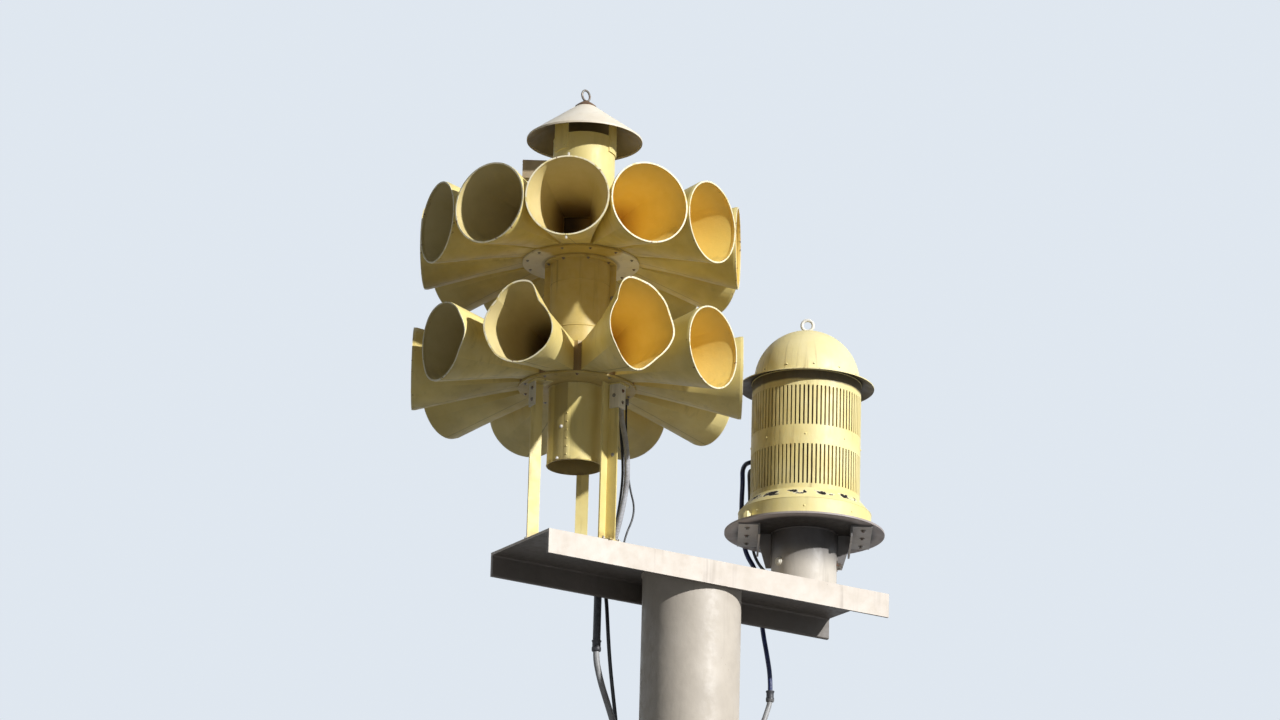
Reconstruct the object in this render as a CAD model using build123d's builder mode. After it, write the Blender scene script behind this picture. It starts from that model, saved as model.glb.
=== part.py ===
from build123d import *
from math import cos, sin, tan, radians
import os

os.makedirs("parts", exist_ok=True)

# Siren tower: a pipe pole with an inverted channel as its platform, a big siren with two rings
# of horns at one end and a small slotted siren under a dome at the other.
# Millimetres, +Z up, X along the platform, origin in the middle of the base plate's underside.

# Pole and its foot
PLATFORM_HEIGHT = 7000.0
POLE_OD = 406.4
POLE_WALL = 12.7
BASE_SIZE = 680.0
BASE_THICK = 32.0
BASE_CORNER = 40.0
ANCHOR_CIRCLE_DIAMETER = 740.0
ANCHOR_HOLE = 42.0
ANCHOR_COUNT = 4
RIB_REACH = 110.0
RIB_HEIGHT = 260.0
RIB_NOSE = 25.0
RIB_THICK = 16.0
RIB_COUNT = 4

# Platform channel, web up and flanges down
CHANNEL_LENGTH = 1640.0
CHANNEL_DEPTH = 457.2
FLANGE_HEIGHT = 100.3
WEB_THICK = 11.4
FLANGE_THICK = 15.9
ROOT_FILLET = 9.0
TOE_FILLET = 6.0

# Big siren
BIG_INSET = 245.0
LOWER_RING_HEIGHT = 762.0
UPPER_RING_HEIGHT = 1302.0
HUB_APOTHEM = 232.0
HUB_HEIGHT = 128.0
HUB_BORE = 185.0
HUB_PLATE = 8.0
HUB_PLATE_R = 240.0
PORT_DEPTH = 25.0
UPPER_COUNT = 12
UPPER_FIRST = -126.3
UPPER_MOUTH_AT = 647.0
LOWER_COUNT = 10
LOWER_FIRST = -139.2
LOWER_MOUTH_AT = 672.0
MOUTH_R = 169.0
THROAT_WIDTH = 114.0
THROAT_HEIGHT = 120.0
HORN_WALL = 4.0
LIP_DEPTH = 12.0
LIP_WALL = 6.0
MOTOR_R = 123.0
MOTOR_EDGE = 6.0
CAN_R = 115.0
CAN_WALL = 4.0
CAN_LENGTH = 328.0
LEG_COUNT = 3
LEG_FIRST = -63.9
LEG_AT = 154.0
LEG_SIZE = 51.0
LEG_THICK = 6.4
CLIP_HEIGHT = 104.0
CLIP_BACK = 38.0
BRACE_DIR = -39.8
BRACE_REACH = 25.0
BRACE_THICK = 8.0

# Neck and rain hat of the big siren
NECK_R = 128.0
NECK_WALL = 4.0
BRIM_HEIGHT = 1768.0
BRIM_R = 240.0
BRIM_LIP = 8.0
HAT_TIP_R = 14.0
HAT_RISE = 175.0
HAT_SHEET = 5.0
STRAP_COUNT = 3
STRAP_FIRST = -171.3
STRAP_WIDTH = 83.0
STRAP_THICK = 5.0
STRAP_LAP = 66.0
EYE_MAJOR = 23.0
EYE_WIRE = 4.5
SHANK_R = 6.0
SHANK_HEIGHT = 8.0
HAT_EYE_TURN = -75.0
BOX_TURN = 149.2
BOX_OUT = 150.0
BOX_DEPTH = 103.0
BOX_WIDTH = 46.0
BOX_HEIGHT = 78.0
BOX_UP = 1597.0
BOX_ARM = 20.0

# Small siren
SMALL_INSET = 273.0
STUB_OD = 273.0
STUB_WALL = 9.3
DISC_HEIGHT = 270.0
DISC_R = 334.0
DISC_THICK = 8.0
RAIL_DIR = -32.0
RAIL_AT = 187.0
RAIL_LENGTH = 340.0
RAIL_FLANGE = 90.0
RAIL_LEG = 50.0
RAIL_THICK = 8.0
FIN_DROP = 147.0
FIN_NOSE = 22.0
FIN_THICK = 8.0
BODY_R = 229.0
BODY_WALL = 16.0
BODY_TOP_HEIGHT = 930.0
LID_THICK = 5.0
SLOT_COUNT = 80
SLOT_WIDTH = 7.0
LOWER_SLOT_UP = 430.0
UPPER_SLOT_UP = 685.0
SLOT_HEIGHT = 171.0
CORE_GAP = 8.0
SKIRT_R = 277.0
SKIRT_WALL = 5.0
SKIRT_BAND = 77.0
SKIRT_SLOPE = 52.0
SKIRT_FIT = 0.3
DOME_R = 222.0
DOME_SHEET = 4.0
DOME_BRIM_R = 284.0
DOME_BRIM_HEIGHT = 908.0
DOME_TIP_R = 12.0
DOME_LEDGE = 24.0
RING_MAJOR = 23.5
RING_WIRE = 7.0
RING_TURN = -123.5

# Leads and conduits, which come off the sirens, cross the deck and go down to the pole
LEAD_R = 8.0
FLEX_R = 11.0
WIRE_R = 4.0
BLUE_LEAD_R = 10.0
THIN_FLEX_R = 6.5
SLEEVE_R = 16.0
DROP_CONDUIT_R = 13.0
BLUE_DROP_R = 11.0
LEAD_FIT = 0.3
GLAND_WALL = 6.0
GLAND_LENGTH = 24.0
POLE_GLAND_GAP = 30.0
POLE_GLAND_LENGTH = 80.0
LEAD_GLAND_TURN = 131.0
LEAD_GLAND_DOWN = 868.0
LEFT_GLAND_TURN = 138.0
LEFT_GLAND_DOWN = 760.0
RIGHT_GLAND_TURN = 42.0
RIGHT_GLAND_DOWN = 865.0
SLEEVE_X = -300.0
SLEEVE_DROP = 25.0
SLEEVE_REACH = 268.0
SIREN_GLAND_TURN = 100.0
BLUE_GLAND_UP = 642.0
THIN_GLAND_UP = 606.0

# Places worked out from the sizes above
BIG_X = BIG_INSET - CHANNEL_LENGTH / 2
SMALL_X = CHANNEL_LENGTH / 2 - SMALL_INSET
DECK_Z = PLATFORM_HEIGHT + WEB_THICK
LOWER_RING_Z = PLATFORM_HEIGHT + LOWER_RING_HEIGHT
UPPER_RING_Z = PLATFORM_HEIGHT + UPPER_RING_HEIGHT
BRIM_Z = PLATFORM_HEIGHT + BRIM_HEIGHT
BOX_Z = PLATFORM_HEIGHT + BOX_UP
DISC_Z = PLATFORM_HEIGHT + DISC_HEIGHT
BODY_TOP = PLATFORM_HEIGHT + BODY_TOP_HEIGHT
LOWER_SLOT_Z = PLATFORM_HEIGHT + LOWER_SLOT_UP
UPPER_SLOT_Z = PLATFORM_HEIGHT + UPPER_SLOT_UP
DOME_BRIM_Z = PLATFORM_HEIGHT + DOME_BRIM_HEIGHT
SLEEVE_TOP = PLATFORM_HEIGHT - SLEEVE_DROP
SLEEVE_END = PLATFORM_HEIGHT - SLEEVE_REACH


def finish(piece, name):
    """Give a piece its name and write it out."""
    piece.label = name
    export_step(piece, f"parts/{name}.step")


def upright(x):
    """Plane through a siren's axis, with the radius along its x and the height along its y."""
    return Plane(origin=(x, 0, 0), x_dir=(1, 0, 0), z_dir=(0, -1, 0))


def upright_turned(x, angle, z=0.0):
    """The same plane turned about the siren's axis."""
    out = (cos(radians(angle)), sin(radians(angle)), 0)
    normal = (sin(radians(angle)), -cos(radians(angle)), 0)
    return Plane(origin=(x, 0, z), x_dir=out, z_dir=normal)


def facing_out(x, angle, reach, z):
    """Plane that faces away from a siren's axis, with its x to the side and its y up."""
    out = (cos(radians(angle)), sin(radians(angle)), 0)
    side = (-sin(radians(angle)), cos(radians(angle)), 0)
    origin = (x + reach * out[0], reach * out[1], z)
    return Plane(origin=origin, x_dir=side, z_dir=out)


def siren_axis(x):
    return Axis((x, 0, 0), (0, 0, 1))


# Base plate with its anchor holes
with BuildPart() as base_plate:
    with BuildSketch():
        RectangleRounded(BASE_SIZE, BASE_SIZE, BASE_CORNER)
        with PolarLocations(ANCHOR_CIRCLE_DIAMETER / 2, ANCHOR_COUNT, start_angle=45):
            Circle(ANCHOR_HOLE / 2, mode=Mode.SUBTRACT)
    extrude(amount=BASE_THICK)
finish(base_plate.part, "base_plate")

# Ribs between the base plate and the pole
with BuildPart() as base_ribs:
    for rib in range(RIB_COUNT):
        with BuildSketch(upright_turned(0, 360 / RIB_COUNT * rib, BASE_THICK)):
            with BuildLine():
                Polyline(
                    (POLE_OD / 2, 0),
                    (POLE_OD / 2 + RIB_REACH, 0),
                    (POLE_OD / 2 + RIB_REACH, RIB_NOSE),
                    (POLE_OD / 2 + RIB_NOSE, RIB_HEIGHT),
                    (POLE_OD / 2, RIB_HEIGHT),
                    close=True,
                )
            make_face()
        extrude(amount=RIB_THICK / 2, both=True)
finish(base_ribs.part, "base_ribs")

# Pole
with BuildPart() as pole:
    with BuildSketch(Plane.XY.offset(BASE_THICK)):
        Circle(POLE_OD / 2)
        Circle(POLE_OD / 2 - POLE_WALL, mode=Mode.SUBTRACT)
    extrude(amount=PLATFORM_HEIGHT - BASE_THICK)
finish(pole.part, "pole")

# Platform, one length of rolled channel
def inner_corners(section):
    """Corners of a channel's section on the inner faces of its flanges."""
    reach = (CHANNEL_DEPTH - FLANGE_THICK) / 2
    return section.vertices().filter_by(lambda corner: abs(corner.X) < reach)


with BuildPart() as platform_channel:
    with BuildSketch(Plane.YZ.offset(-CHANNEL_LENGTH / 2)) as section:
        with Locations((0, DECK_Z)):
            Rectangle(CHANNEL_DEPTH, FLANGE_HEIGHT, align=(Align.CENTER, Align.MAX))
        with Locations((0, PLATFORM_HEIGHT)):
            Rectangle(
                CHANNEL_DEPTH - 2 * FLANGE_THICK,
                FLANGE_HEIGHT,
                align=(Align.CENTER, Align.MAX),
                mode=Mode.SUBTRACT,
            )
        fillet(inner_corners(section).group_by(Axis.Y)[-1], radius=ROOT_FILLET)
        fillet(inner_corners(section).group_by(Axis.Y)[0], radius=TOE_FILLET)
    extrude(amount=CHANNEL_LENGTH)
finish(platform_channel.part, "platform_channel")

# Heights of the big siren's hubs
LOWER_HUB_Z = LOWER_RING_Z - HUB_HEIGHT / 2
UPPER_HUB_Z = UPPER_RING_Z - HUB_HEIGHT / 2
LEG_TOP_Z = LOWER_HUB_Z - HUB_PLATE


def leg_plane(leg, z):
    """Level plane at the corner of a leg, with its x away from the siren's axis."""
    turn = radians(LEG_FIRST + 360 / LEG_COUNT * leg)
    corner = (BIG_X + LEG_AT * cos(turn), LEG_AT * sin(turn), z)
    return Plane(origin=corner, x_dir=(cos(turn), sin(turn), 0), z_dir=(0, 0, 1))


# Legs of angle iron under the big siren
for leg in range(LEG_COUNT):
    with BuildPart() as siren_leg:
        with BuildSketch(leg_plane(leg, DECK_Z)):
            with BuildLine():
                Polyline(
                    (0, 0),
                    (LEG_SIZE, 0),
                    (LEG_SIZE, -LEG_THICK),
                    (LEG_THICK, -LEG_THICK),
                    (LEG_THICK, -LEG_SIZE),
                    (0, -LEG_SIZE),
                    close=True,
                )
            make_face()
        extrude(amount=LEG_TOP_Z - DECK_Z)
    finish(siren_leg.part, f"siren_leg_{leg + 1}")

# Short angles at the tops of the legs, each round the edge of its leg's flange
with BuildPart() as leg_clips:
    for leg in range(LEG_COUNT):
        with BuildSketch(leg_plane(leg, LEG_TOP_Z)):
            with BuildLine():
                Polyline(
                    (2 * LEG_THICK, -LEG_THICK),
                    (LEG_SIZE, -LEG_THICK),
                    (LEG_SIZE, CLIP_BACK),
                    (LEG_SIZE + LEG_THICK, CLIP_BACK),
                    (LEG_SIZE + LEG_THICK, -2 * LEG_THICK),
                    (2 * LEG_THICK, -2 * LEG_THICK),
                    close=True,
                )
            make_face()
        extrude(amount=-CLIP_HEIGHT)
finish(leg_clips.part, "leg_clips")


def hub_plate(name, z):
    """Round plate that closes a hub above or below."""
    with BuildPart() as plate:
        with BuildSketch(Plane.XY.offset(z)):
            with Locations((BIG_X, 0)):
                Circle(HUB_PLATE_R)
        extrude(amount=HUB_PLATE)
    finish(plate.part, name)


def hub(name, sides, first, z):
    """Ring of flat faces, each with the port that a horn stands on."""
    port_width = THROAT_WIDTH - 2 * HORN_WALL
    port_height = THROAT_HEIGHT - 2 * HORN_WALL
    with BuildPart() as ring:
        with BuildSketch(Plane(origin=(BIG_X, 0, z), x_dir=(1, 0, 0), z_dir=(0, 0, 1))):
            RegularPolygon(HUB_APOTHEM, sides, major_radius=False, rotation=first + 180 / sides)
            Circle(HUB_BORE, mode=Mode.SUBTRACT)
        extrude(amount=HUB_HEIGHT)
        for side in range(sides):
            face = facing_out(BIG_X, first + 360 / sides * side, HUB_APOTHEM, z + HUB_HEIGHT / 2)
            with BuildSketch(face):
                Rectangle(port_width, port_height)
            extrude(amount=-PORT_DEPTH, mode=Mode.SUBTRACT)
    finish(ring.part, name)


# Mouths of the horns. A round one is four quarter circles; a dented one is four curves
# through points beside and above the middle of the round mouth.
CRUSHED = [
    [(119, 152), (80, 184), (34, 201), (-12, 205), (-37, 183), (-51, 143), (-58, 104)],
    [(-58, 104), (-76, 64), (-85, 22), (-81, -28), (-63, -76)],
    [(-63, -76), (-37, -126), (-2, -167), (36, -181), (77, -161), (128, -112)],
    [(128, -112), (172, -56), (187, -10), (168, 67), (150, 112), (119, 152)],
]
TORN = [
    [(65, 78), (38, 134), (16, 172), (-17, 181), (-55, 175), (-92, 153), (-124, 109)],
    [(-124, 109), (-158, 65), (-175, 25), (-174, -20), (-124, -122)],
    [(-124, -122), (-76, -152), (-27, -163), (23, -152), (64, -126)],
    [(64, -126), (104, -78), (115, -30), (100, 29), (65, 78)],
]
CRUMPLED = [
    [(105, 104), (59, 140), (9, 157), (-47, 155), (-108, 116)],
    [(-108, 116), (-134, 60), (-140, -15), (-116, -102)],
    [(-116, -102), (-69, -155), (-5, -168), (62, -146), (110, -100)],
    [(110, -100), (137, -56), (160, -8), (142, 47), (105, 104)],
]


def mouth_face(plane, dent, wall):
    """Face of a horn's mouth, smaller than its outside by the wall."""
    with BuildSketch(plane) as mouth:
        with BuildLine():
            if dent is None:
                for quarter in range(4):
                    CenterArc((0, 0), MOUTH_R - wall, 45 + 90 * quarter, 90)
            else:
                shrink = 1 - wall / MOUTH_R
                for curve in dent:
                    Spline(*[(x * shrink, y * shrink) for x, y in curve])
        make_face()
    return mouth.sketch


def throat_face(plane, wall):
    """Face of a horn's throat, drawn from the same corner and way round as its mouth."""
    width = THROAT_WIDTH - 2 * wall
    height = THROAT_HEIGHT - 2 * wall
    with BuildSketch(plane) as throat:
        with BuildLine():
            Polyline(
                (width / 2, height / 2),
                (-width / 2, height / 2),
                (-width / 2, -height / 2),
                (width / 2, -height / 2),
                close=True,
            )
        make_face()
    return throat.sketch


def horn(name, turn, mouth_at, z, dent=None):
    """Sheet horn that grows from a square throat on the hub to a mouth with a thick lip."""
    throat = facing_out(BIG_X, turn, HUB_APOTHEM, z)
    mouth = facing_out(BIG_X, turn, mouth_at - LIP_DEPTH, z)
    with BuildPart() as shell:
        loft([throat_face(throat, 0), mouth_face(mouth, dent, 0)], ruled=True)
        loft(
            [throat_face(throat, HORN_WALL), mouth_face(mouth, dent, HORN_WALL)],
            ruled=True,
            mode=Mode.SUBTRACT,
        )
        extrude(mouth_face(mouth, dent, 0), amount=LIP_DEPTH)
        extrude(mouth_face(mouth, dent, LIP_WALL), amount=LIP_DEPTH, mode=Mode.SUBTRACT)
    finish(shell.part, name)


# Lower ring: ten horns, three of them dented
hub_plate("lower_hub_floor", LEG_TOP_Z)
hub("lower_hub", LOWER_COUNT, LOWER_FIRST, LOWER_HUB_Z)
hub_plate("lower_hub_roof", LOWER_HUB_Z + HUB_HEIGHT)
DENTS = {0: TORN, 1: CRUSHED, 9: CRUMPLED}
for number in range(LOWER_COUNT):
    horn(
        f"lower_horn_{number + 1:02d}",
        LOWER_FIRST + 360 / LOWER_COUNT * number,
        LOWER_MOUTH_AT,
        LOWER_RING_Z,
        DENTS.get(number),
    )

# Upper ring: twelve horns, mouth beside mouth
hub_plate("upper_hub_floor", UPPER_HUB_Z - HUB_PLATE)
hub("upper_hub", UPPER_COUNT, UPPER_FIRST, UPPER_HUB_Z)
hub_plate("upper_hub_roof", UPPER_HUB_Z + HUB_HEIGHT)
for number in range(UPPER_COUNT):
    horn(
        f"upper_horn_{number + 1:02d}",
        UPPER_FIRST + 360 / UPPER_COUNT * number,
        UPPER_MOUTH_AT,
        UPPER_RING_Z,
    )

# Motor housing between the two hubs
MOTOR_Z = LOWER_HUB_Z + HUB_HEIGHT + HUB_PLATE
MOTOR_TOP = UPPER_HUB_Z - HUB_PLATE
with BuildPart() as motor_housing:
    with BuildSketch(Plane.XY.offset(MOTOR_Z)):
        with Locations((BIG_X, 0)):
            Circle(MOTOR_R)
    extrude(amount=MOTOR_TOP - MOTOR_Z)
    chamfer(motor_housing.edges().filter_by(GeomType.CIRCLE), length=MOTOR_EDGE)
finish(motor_housing.part, "motor_housing")

# Intake can under the lower hub, open below
with BuildPart() as intake_can:
    with BuildSketch(Plane.XY.offset(LEG_TOP_Z)):
        with Locations((BIG_X, 0)):
            Circle(CAN_R)
            Circle(CAN_R - CAN_WALL, mode=Mode.SUBTRACT)
    extrude(amount=-CAN_LENGTH)
finish(intake_can.part, "intake_can")

# Narrow plates that brace the motor housing on two sides
with BuildPart() as housing_braces:
    for turn in (BRACE_DIR, BRACE_DIR + 180):
        with BuildSketch(upright_turned(BIG_X, turn, MOTOR_Z)):
            with Locations((MOTOR_R, 0)):
                Rectangle(BRACE_REACH, MOTOR_TOP - MOTOR_Z, align=(Align.MIN, Align.MIN))
        extrude(amount=BRACE_THICK / 2, both=True)
finish(housing_braces.part, "housing_braces")

# Neck above the upper hub
NECK_Z = UPPER_HUB_Z + HUB_HEIGHT + HUB_PLATE
with BuildPart() as intake_neck:
    with BuildSketch(Plane.XY.offset(NECK_Z)):
        with Locations((BIG_X, 0)):
            Circle(NECK_R)
            Circle(NECK_R - NECK_WALL, mode=Mode.SUBTRACT)
    extrude(amount=BRIM_Z - NECK_Z)
finish(intake_neck.part, "intake_neck")

# Rain hat, a cone of sheet with a turned down brim
HAT_TOP = BRIM_Z + HAT_RISE
HAT_SLOPE = (HAT_RISE - BRIM_LIP) / (BRIM_R - HAT_TIP_R)
with BuildPart() as rain_hat:
    with BuildSketch(upright(BIG_X)):
        with BuildLine():
            Polyline(
                (0, HAT_TOP),
                (HAT_TIP_R, HAT_TOP),
                (BRIM_R, BRIM_Z + BRIM_LIP),
                (BRIM_R, BRIM_Z),
                (BRIM_R - HAT_SHEET, BRIM_Z),
                (BRIM_R - HAT_SHEET, BRIM_Z + BRIM_LIP + HAT_SHEET * (HAT_SLOPE - 1)),
                (HAT_TIP_R, HAT_TOP - HAT_SHEET),
                (0, HAT_TOP - HAT_SHEET),
                close=True,
            )
        make_face()
    revolve(axis=siren_axis(BIG_X))
finish(rain_hat.part, "rain_hat")


# Straps that carry the hat on the neck, cut off along the hat's underside
with BuildPart() as hat_straps:
    with BuildSketch(Plane.XY.offset(BRIM_Z - STRAP_LAP)):
        with Locations((BIG_X, 0)):
            with PolarLocations(NECK_R, STRAP_COUNT, start_angle=STRAP_FIRST):
                Rectangle(4 * STRAP_THICK, STRAP_WIDTH)
            Circle(NECK_R + STRAP_THICK, mode=Mode.INTERSECT)
            Circle(NECK_R, mode=Mode.SUBTRACT)
    extrude(amount=STRAP_LAP + HAT_RISE)
    with BuildSketch(upright(BIG_X)):
        with BuildLine():
            Polyline(
                (0, HAT_TOP),
                (0, HAT_TOP - HAT_SHEET),
                (HAT_TIP_R, HAT_TOP - HAT_SHEET),
                (BRIM_R - HAT_SHEET, BRIM_Z + BRIM_LIP + HAT_SHEET * (HAT_SLOPE - 1)),
                (BRIM_R - HAT_SHEET, HAT_TOP),
                close=True,
            )
        make_face()
    revolve(axis=siren_axis(BIG_X), mode=Mode.SUBTRACT)
finish(hat_straps.part, "hat_straps")


def lifting_eye(name, x, z, turn, major, wire):
    """Ring on a short shank, its hole facing the way that it is turned."""
    out = (cos(radians(turn)), sin(radians(turn)), 0)
    centre = (x, 0, z + SHANK_HEIGHT + major)
    with BuildPart() as eye:
        with BuildSketch(Plane.XY.offset(z)):
            with Locations((x, 0)):
                Circle(SHANK_R)
        extrude(amount=SHANK_HEIGHT)
        side = (-sin(radians(turn)), cos(radians(turn)), 0)
        with BuildSketch(Plane(origin=centre, x_dir=side, z_dir=(0, 0, 1))):
            with Locations((major, 0)):
                Circle(wire)
        revolve(axis=Axis(centre, out))
    finish(eye.part, name)


lifting_eye("hat_eye", BIG_X, HAT_TOP, HAT_EYE_TURN, EYE_MAJOR, EYE_WIRE)

# Small box on an arm beside the neck
with BuildPart() as neck_box:
    with BuildSketch(facing_out(BIG_X, BOX_TURN, BOX_OUT, BOX_Z + BOX_HEIGHT / 2)):
        Rectangle(BOX_WIDTH, BOX_HEIGHT)
    extrude(amount=BOX_DEPTH)
    with BuildSketch(facing_out(BIG_X, BOX_TURN, NECK_R, BOX_Z + BOX_HEIGHT / 2)):
        Rectangle(BOX_ARM, BOX_ARM)
    extrude(amount=BOX_OUT - NECK_R)
finish(neck_box.part, "neck_box")

# Stub pipe under the small siren
with BuildPart() as stub_pipe:
    with BuildSketch(Plane.XY.offset(DECK_Z)):
        with Locations((SMALL_X, 0)):
            Circle(STUB_OD / 2)
            Circle(STUB_OD / 2 - STUB_WALL, mode=Mode.SUBTRACT)
    extrude(amount=DISC_Z - DECK_Z)
finish(stub_pipe.part, "stub_pipe")

# Disc that the small siren stands on
with BuildPart() as base_disc:
    with BuildSketch(Plane.XY.offset(DISC_Z)):
        with Locations((SMALL_X, 0)):
            Circle(DISC_R)
    extrude(amount=DISC_THICK)
finish(base_disc.part, "base_disc")

# Brackets under the disc: on each side of the stub pipe a fin welded to a rail of angle iron
with BuildPart() as disc_brackets:
    for turn in (RAIL_DIR, RAIL_DIR + 180):
        across = upright_turned(SMALL_X, turn, DISC_Z)
        with BuildSketch(across):
            with BuildLine():
                Polyline(
                    (RAIL_AT, 0),
                    (RAIL_AT + RAIL_FLANGE, 0),
                    (RAIL_AT + RAIL_FLANGE, -RAIL_THICK),
                    (RAIL_AT + RAIL_THICK, -RAIL_THICK),
                    (RAIL_AT + RAIL_THICK, -RAIL_LEG),
                    (RAIL_AT, -RAIL_LEG),
                    close=True,
                )
            make_face()
        extrude(amount=RAIL_LENGTH / 2, both=True)
        with BuildSketch(across):
            with BuildLine():
                Polyline(
                    (STUB_OD / 2, 0),
                    (RAIL_AT, 0),
                    (RAIL_AT, -RAIL_LEG),
                    (STUB_OD / 2 + FIN_NOSE, -FIN_DROP),
                    (STUB_OD / 2, -FIN_DROP),
                    close=True,
                )
            make_face()
        extrude(amount=FIN_THICK / 2, both=True)
finish(disc_brackets.part, "disc_brackets")

# Slotted body of the small siren
BODY_Z = DISC_Z + DISC_THICK
with BuildPart() as slotted_body:
    with BuildSketch(Plane.XY.offset(BODY_Z)):
        with Locations((SMALL_X, 0)):
            Circle(BODY_R)
            Circle(BODY_R - BODY_WALL, mode=Mode.SUBTRACT)
    extrude(amount=BODY_TOP - LID_THICK - BODY_Z)
    for slot_z in (LOWER_SLOT_Z, UPPER_SLOT_Z):
        with BuildSketch(Plane.XY.offset(slot_z)):
            with Locations((SMALL_X, 0)):
                with PolarLocations(BODY_R - BODY_WALL / 2, SLOT_COUNT):
                    Rectangle(2 * BODY_WALL, SLOT_WIDTH)
        extrude(amount=SLOT_HEIGHT, mode=Mode.SUBTRACT)
finish(slotted_body.part, "slotted_body")

# Core seen through the slots
with BuildPart() as body_core:
    with BuildSketch(Plane.XY.offset(BODY_Z)):
        with Locations((SMALL_X, 0)):
            Circle(BODY_R - BODY_WALL - CORE_GAP)
    extrude(amount=BODY_TOP - LID_THICK - BODY_Z)
finish(body_core.part, "body_core")

with BuildPart() as body_lid:
    with BuildSketch(Plane.XY.offset(BODY_TOP - LID_THICK)):
        with Locations((SMALL_X, 0)):
            Circle(BODY_R)
    extrude(amount=LID_THICK)
finish(body_lid.part, "body_lid")

# Flared skirt round the foot of the body
SKIRT_IN = BODY_R + SKIRT_FIT
with BuildPart() as body_skirt:
    with BuildSketch(upright(SMALL_X)):
        with BuildLine():
            Polyline(
                (SKIRT_R, BODY_Z),
                (SKIRT_R, BODY_Z + SKIRT_BAND),
                (SKIRT_IN + SKIRT_WALL, BODY_Z + SKIRT_BAND + SKIRT_SLOPE),
                (SKIRT_IN, BODY_Z + SKIRT_BAND + SKIRT_SLOPE),
                (SKIRT_IN, BODY_Z + SKIRT_BAND + SKIRT_SLOPE - 2 * SKIRT_WALL),
                (SKIRT_R - SKIRT_WALL, BODY_Z + SKIRT_BAND - SKIRT_WALL),
                (SKIRT_R - SKIRT_WALL, BODY_Z),
                close=True,
            )
        make_face()
    revolve(axis=siren_axis(SMALL_X))
finish(body_skirt.part, "body_skirt")

# Dome with a flared brim, seated on the lid
DOME_MID = BODY_TOP + LID_THICK
with BuildPart() as dome:
    with BuildSketch(upright(SMALL_X)):
        with BuildLine():
            crown = DOME_MID + DOME_R
            brim = DOME_BRIM_Z
            outer_foot = (DOME_R, DOME_MID)
            inner_foot = (DOME_R - DOME_SHEET, DOME_MID)
            Line((0, crown), (DOME_TIP_R, crown))
            ThreePointArc(
                (DOME_TIP_R, crown),
                (DOME_R * sin(radians(45)), DOME_MID + DOME_R * cos(radians(45))),
                outer_foot,
            )
            Line(outer_foot, (BODY_R + DOME_SHEET, BODY_TOP))
            Line((BODY_R + DOME_SHEET, BODY_TOP), (DOME_BRIM_R, brim + DOME_SHEET))
            Line((DOME_BRIM_R, brim + DOME_SHEET), (DOME_BRIM_R, brim))
            Line((DOME_BRIM_R, brim), (BODY_R + SKIRT_FIT, BODY_TOP))
            Line((BODY_R + SKIRT_FIT, BODY_TOP), (BODY_R - DOME_LEDGE, BODY_TOP))
            Line((BODY_R - DOME_LEDGE, BODY_TOP), (BODY_R - DOME_LEDGE, DOME_MID))
            Line((BODY_R - DOME_LEDGE, DOME_MID), inner_foot)
            inner_r = DOME_R - DOME_SHEET
            ThreePointArc(
                inner_foot,
                (inner_r * sin(radians(45)), DOME_MID + inner_r * cos(radians(45))),
                (0, DOME_MID + inner_r),
            )
            Line((0, DOME_MID + inner_r), (0, crown))
        make_face()
    revolve(axis=siren_axis(SMALL_X))
finish(dome.part, "dome")

lifting_eye("dome_eye", SMALL_X, DOME_MID + DOME_R, RING_TURN, RING_MAJOR, RING_WIRE)


def bend_radii(points):
    """As large an arc at each corner as its two runs leave room for."""
    radii = []
    for before, corner, after in zip(points, points[1:], points[2:]):
        run_in = Vector(*corner) - Vector(*before)
        run_out = Vector(*after) - Vector(*corner)
        turn = run_in.get_angle(run_out)
        shorter = min(run_in.length, run_out.length)
        radii.append(0.45 * shorter / tan(radians(turn / 2)))
    return radii


def lead(points, wire):
    """Round lead along straight runs joined by arcs."""
    radii = bend_radii(points)
    print("smallest arc", round(min(radii)), "on a lead of diameter", 2 * wire)
    start = Vector(*points[1]) - Vector(*points[0])
    with BuildPart() as tube:
        with BuildLine() as route:
            FilletPolyline(*points, radius=radii)
        with BuildSketch(Plane(origin=points[0], z_dir=start)):
            Circle(wire)
        sweep(path=route.line)
    return tube.part


def around(x, turn, reach, z):
    """Point at a radius from an upright axis."""
    return (x + reach * cos(radians(turn)), reach * sin(radians(turn)), z)


def pole_gland(turn, z):
    """Where a lead ends beside the pole, and the slanting way on into the pole."""
    inward = (-cos(radians(turn)), -sin(radians(turn)), -1)
    return around(0, turn, POLE_OD / 2 + POLE_GLAND_GAP, z), Vector(*inward).normalized()


def along(point, way, length):
    """Point further on along a gland's way, or before it where the length is negative."""
    return (point[0] + way.X * length, point[1] + way.Y * length, point[2] + way.Z * length)


# The leads lie on the deck and go down outside its far side, past the flange
H = PLATFORM_HEIGHT
DECK_SIDE = CHANNEL_DEPTH / 2
SLEEVE_Y = DECK_SIDE + SLEEVE_R + LEAD_FIT
LEAD_END, LEAD_WAY = pole_gland(LEAD_GLAND_TURN, PLATFORM_HEIGHT - LEAD_GLAND_DOWN)
LEFT_END, LEFT_WAY = pole_gland(LEFT_GLAND_TURN, PLATFORM_HEIGHT - LEFT_GLAND_DOWN)
RIGHT_END, RIGHT_WAY = pole_gland(RIGHT_GLAND_TURN, PLATFORM_HEIGHT - RIGHT_GLAND_DOWN)

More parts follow.
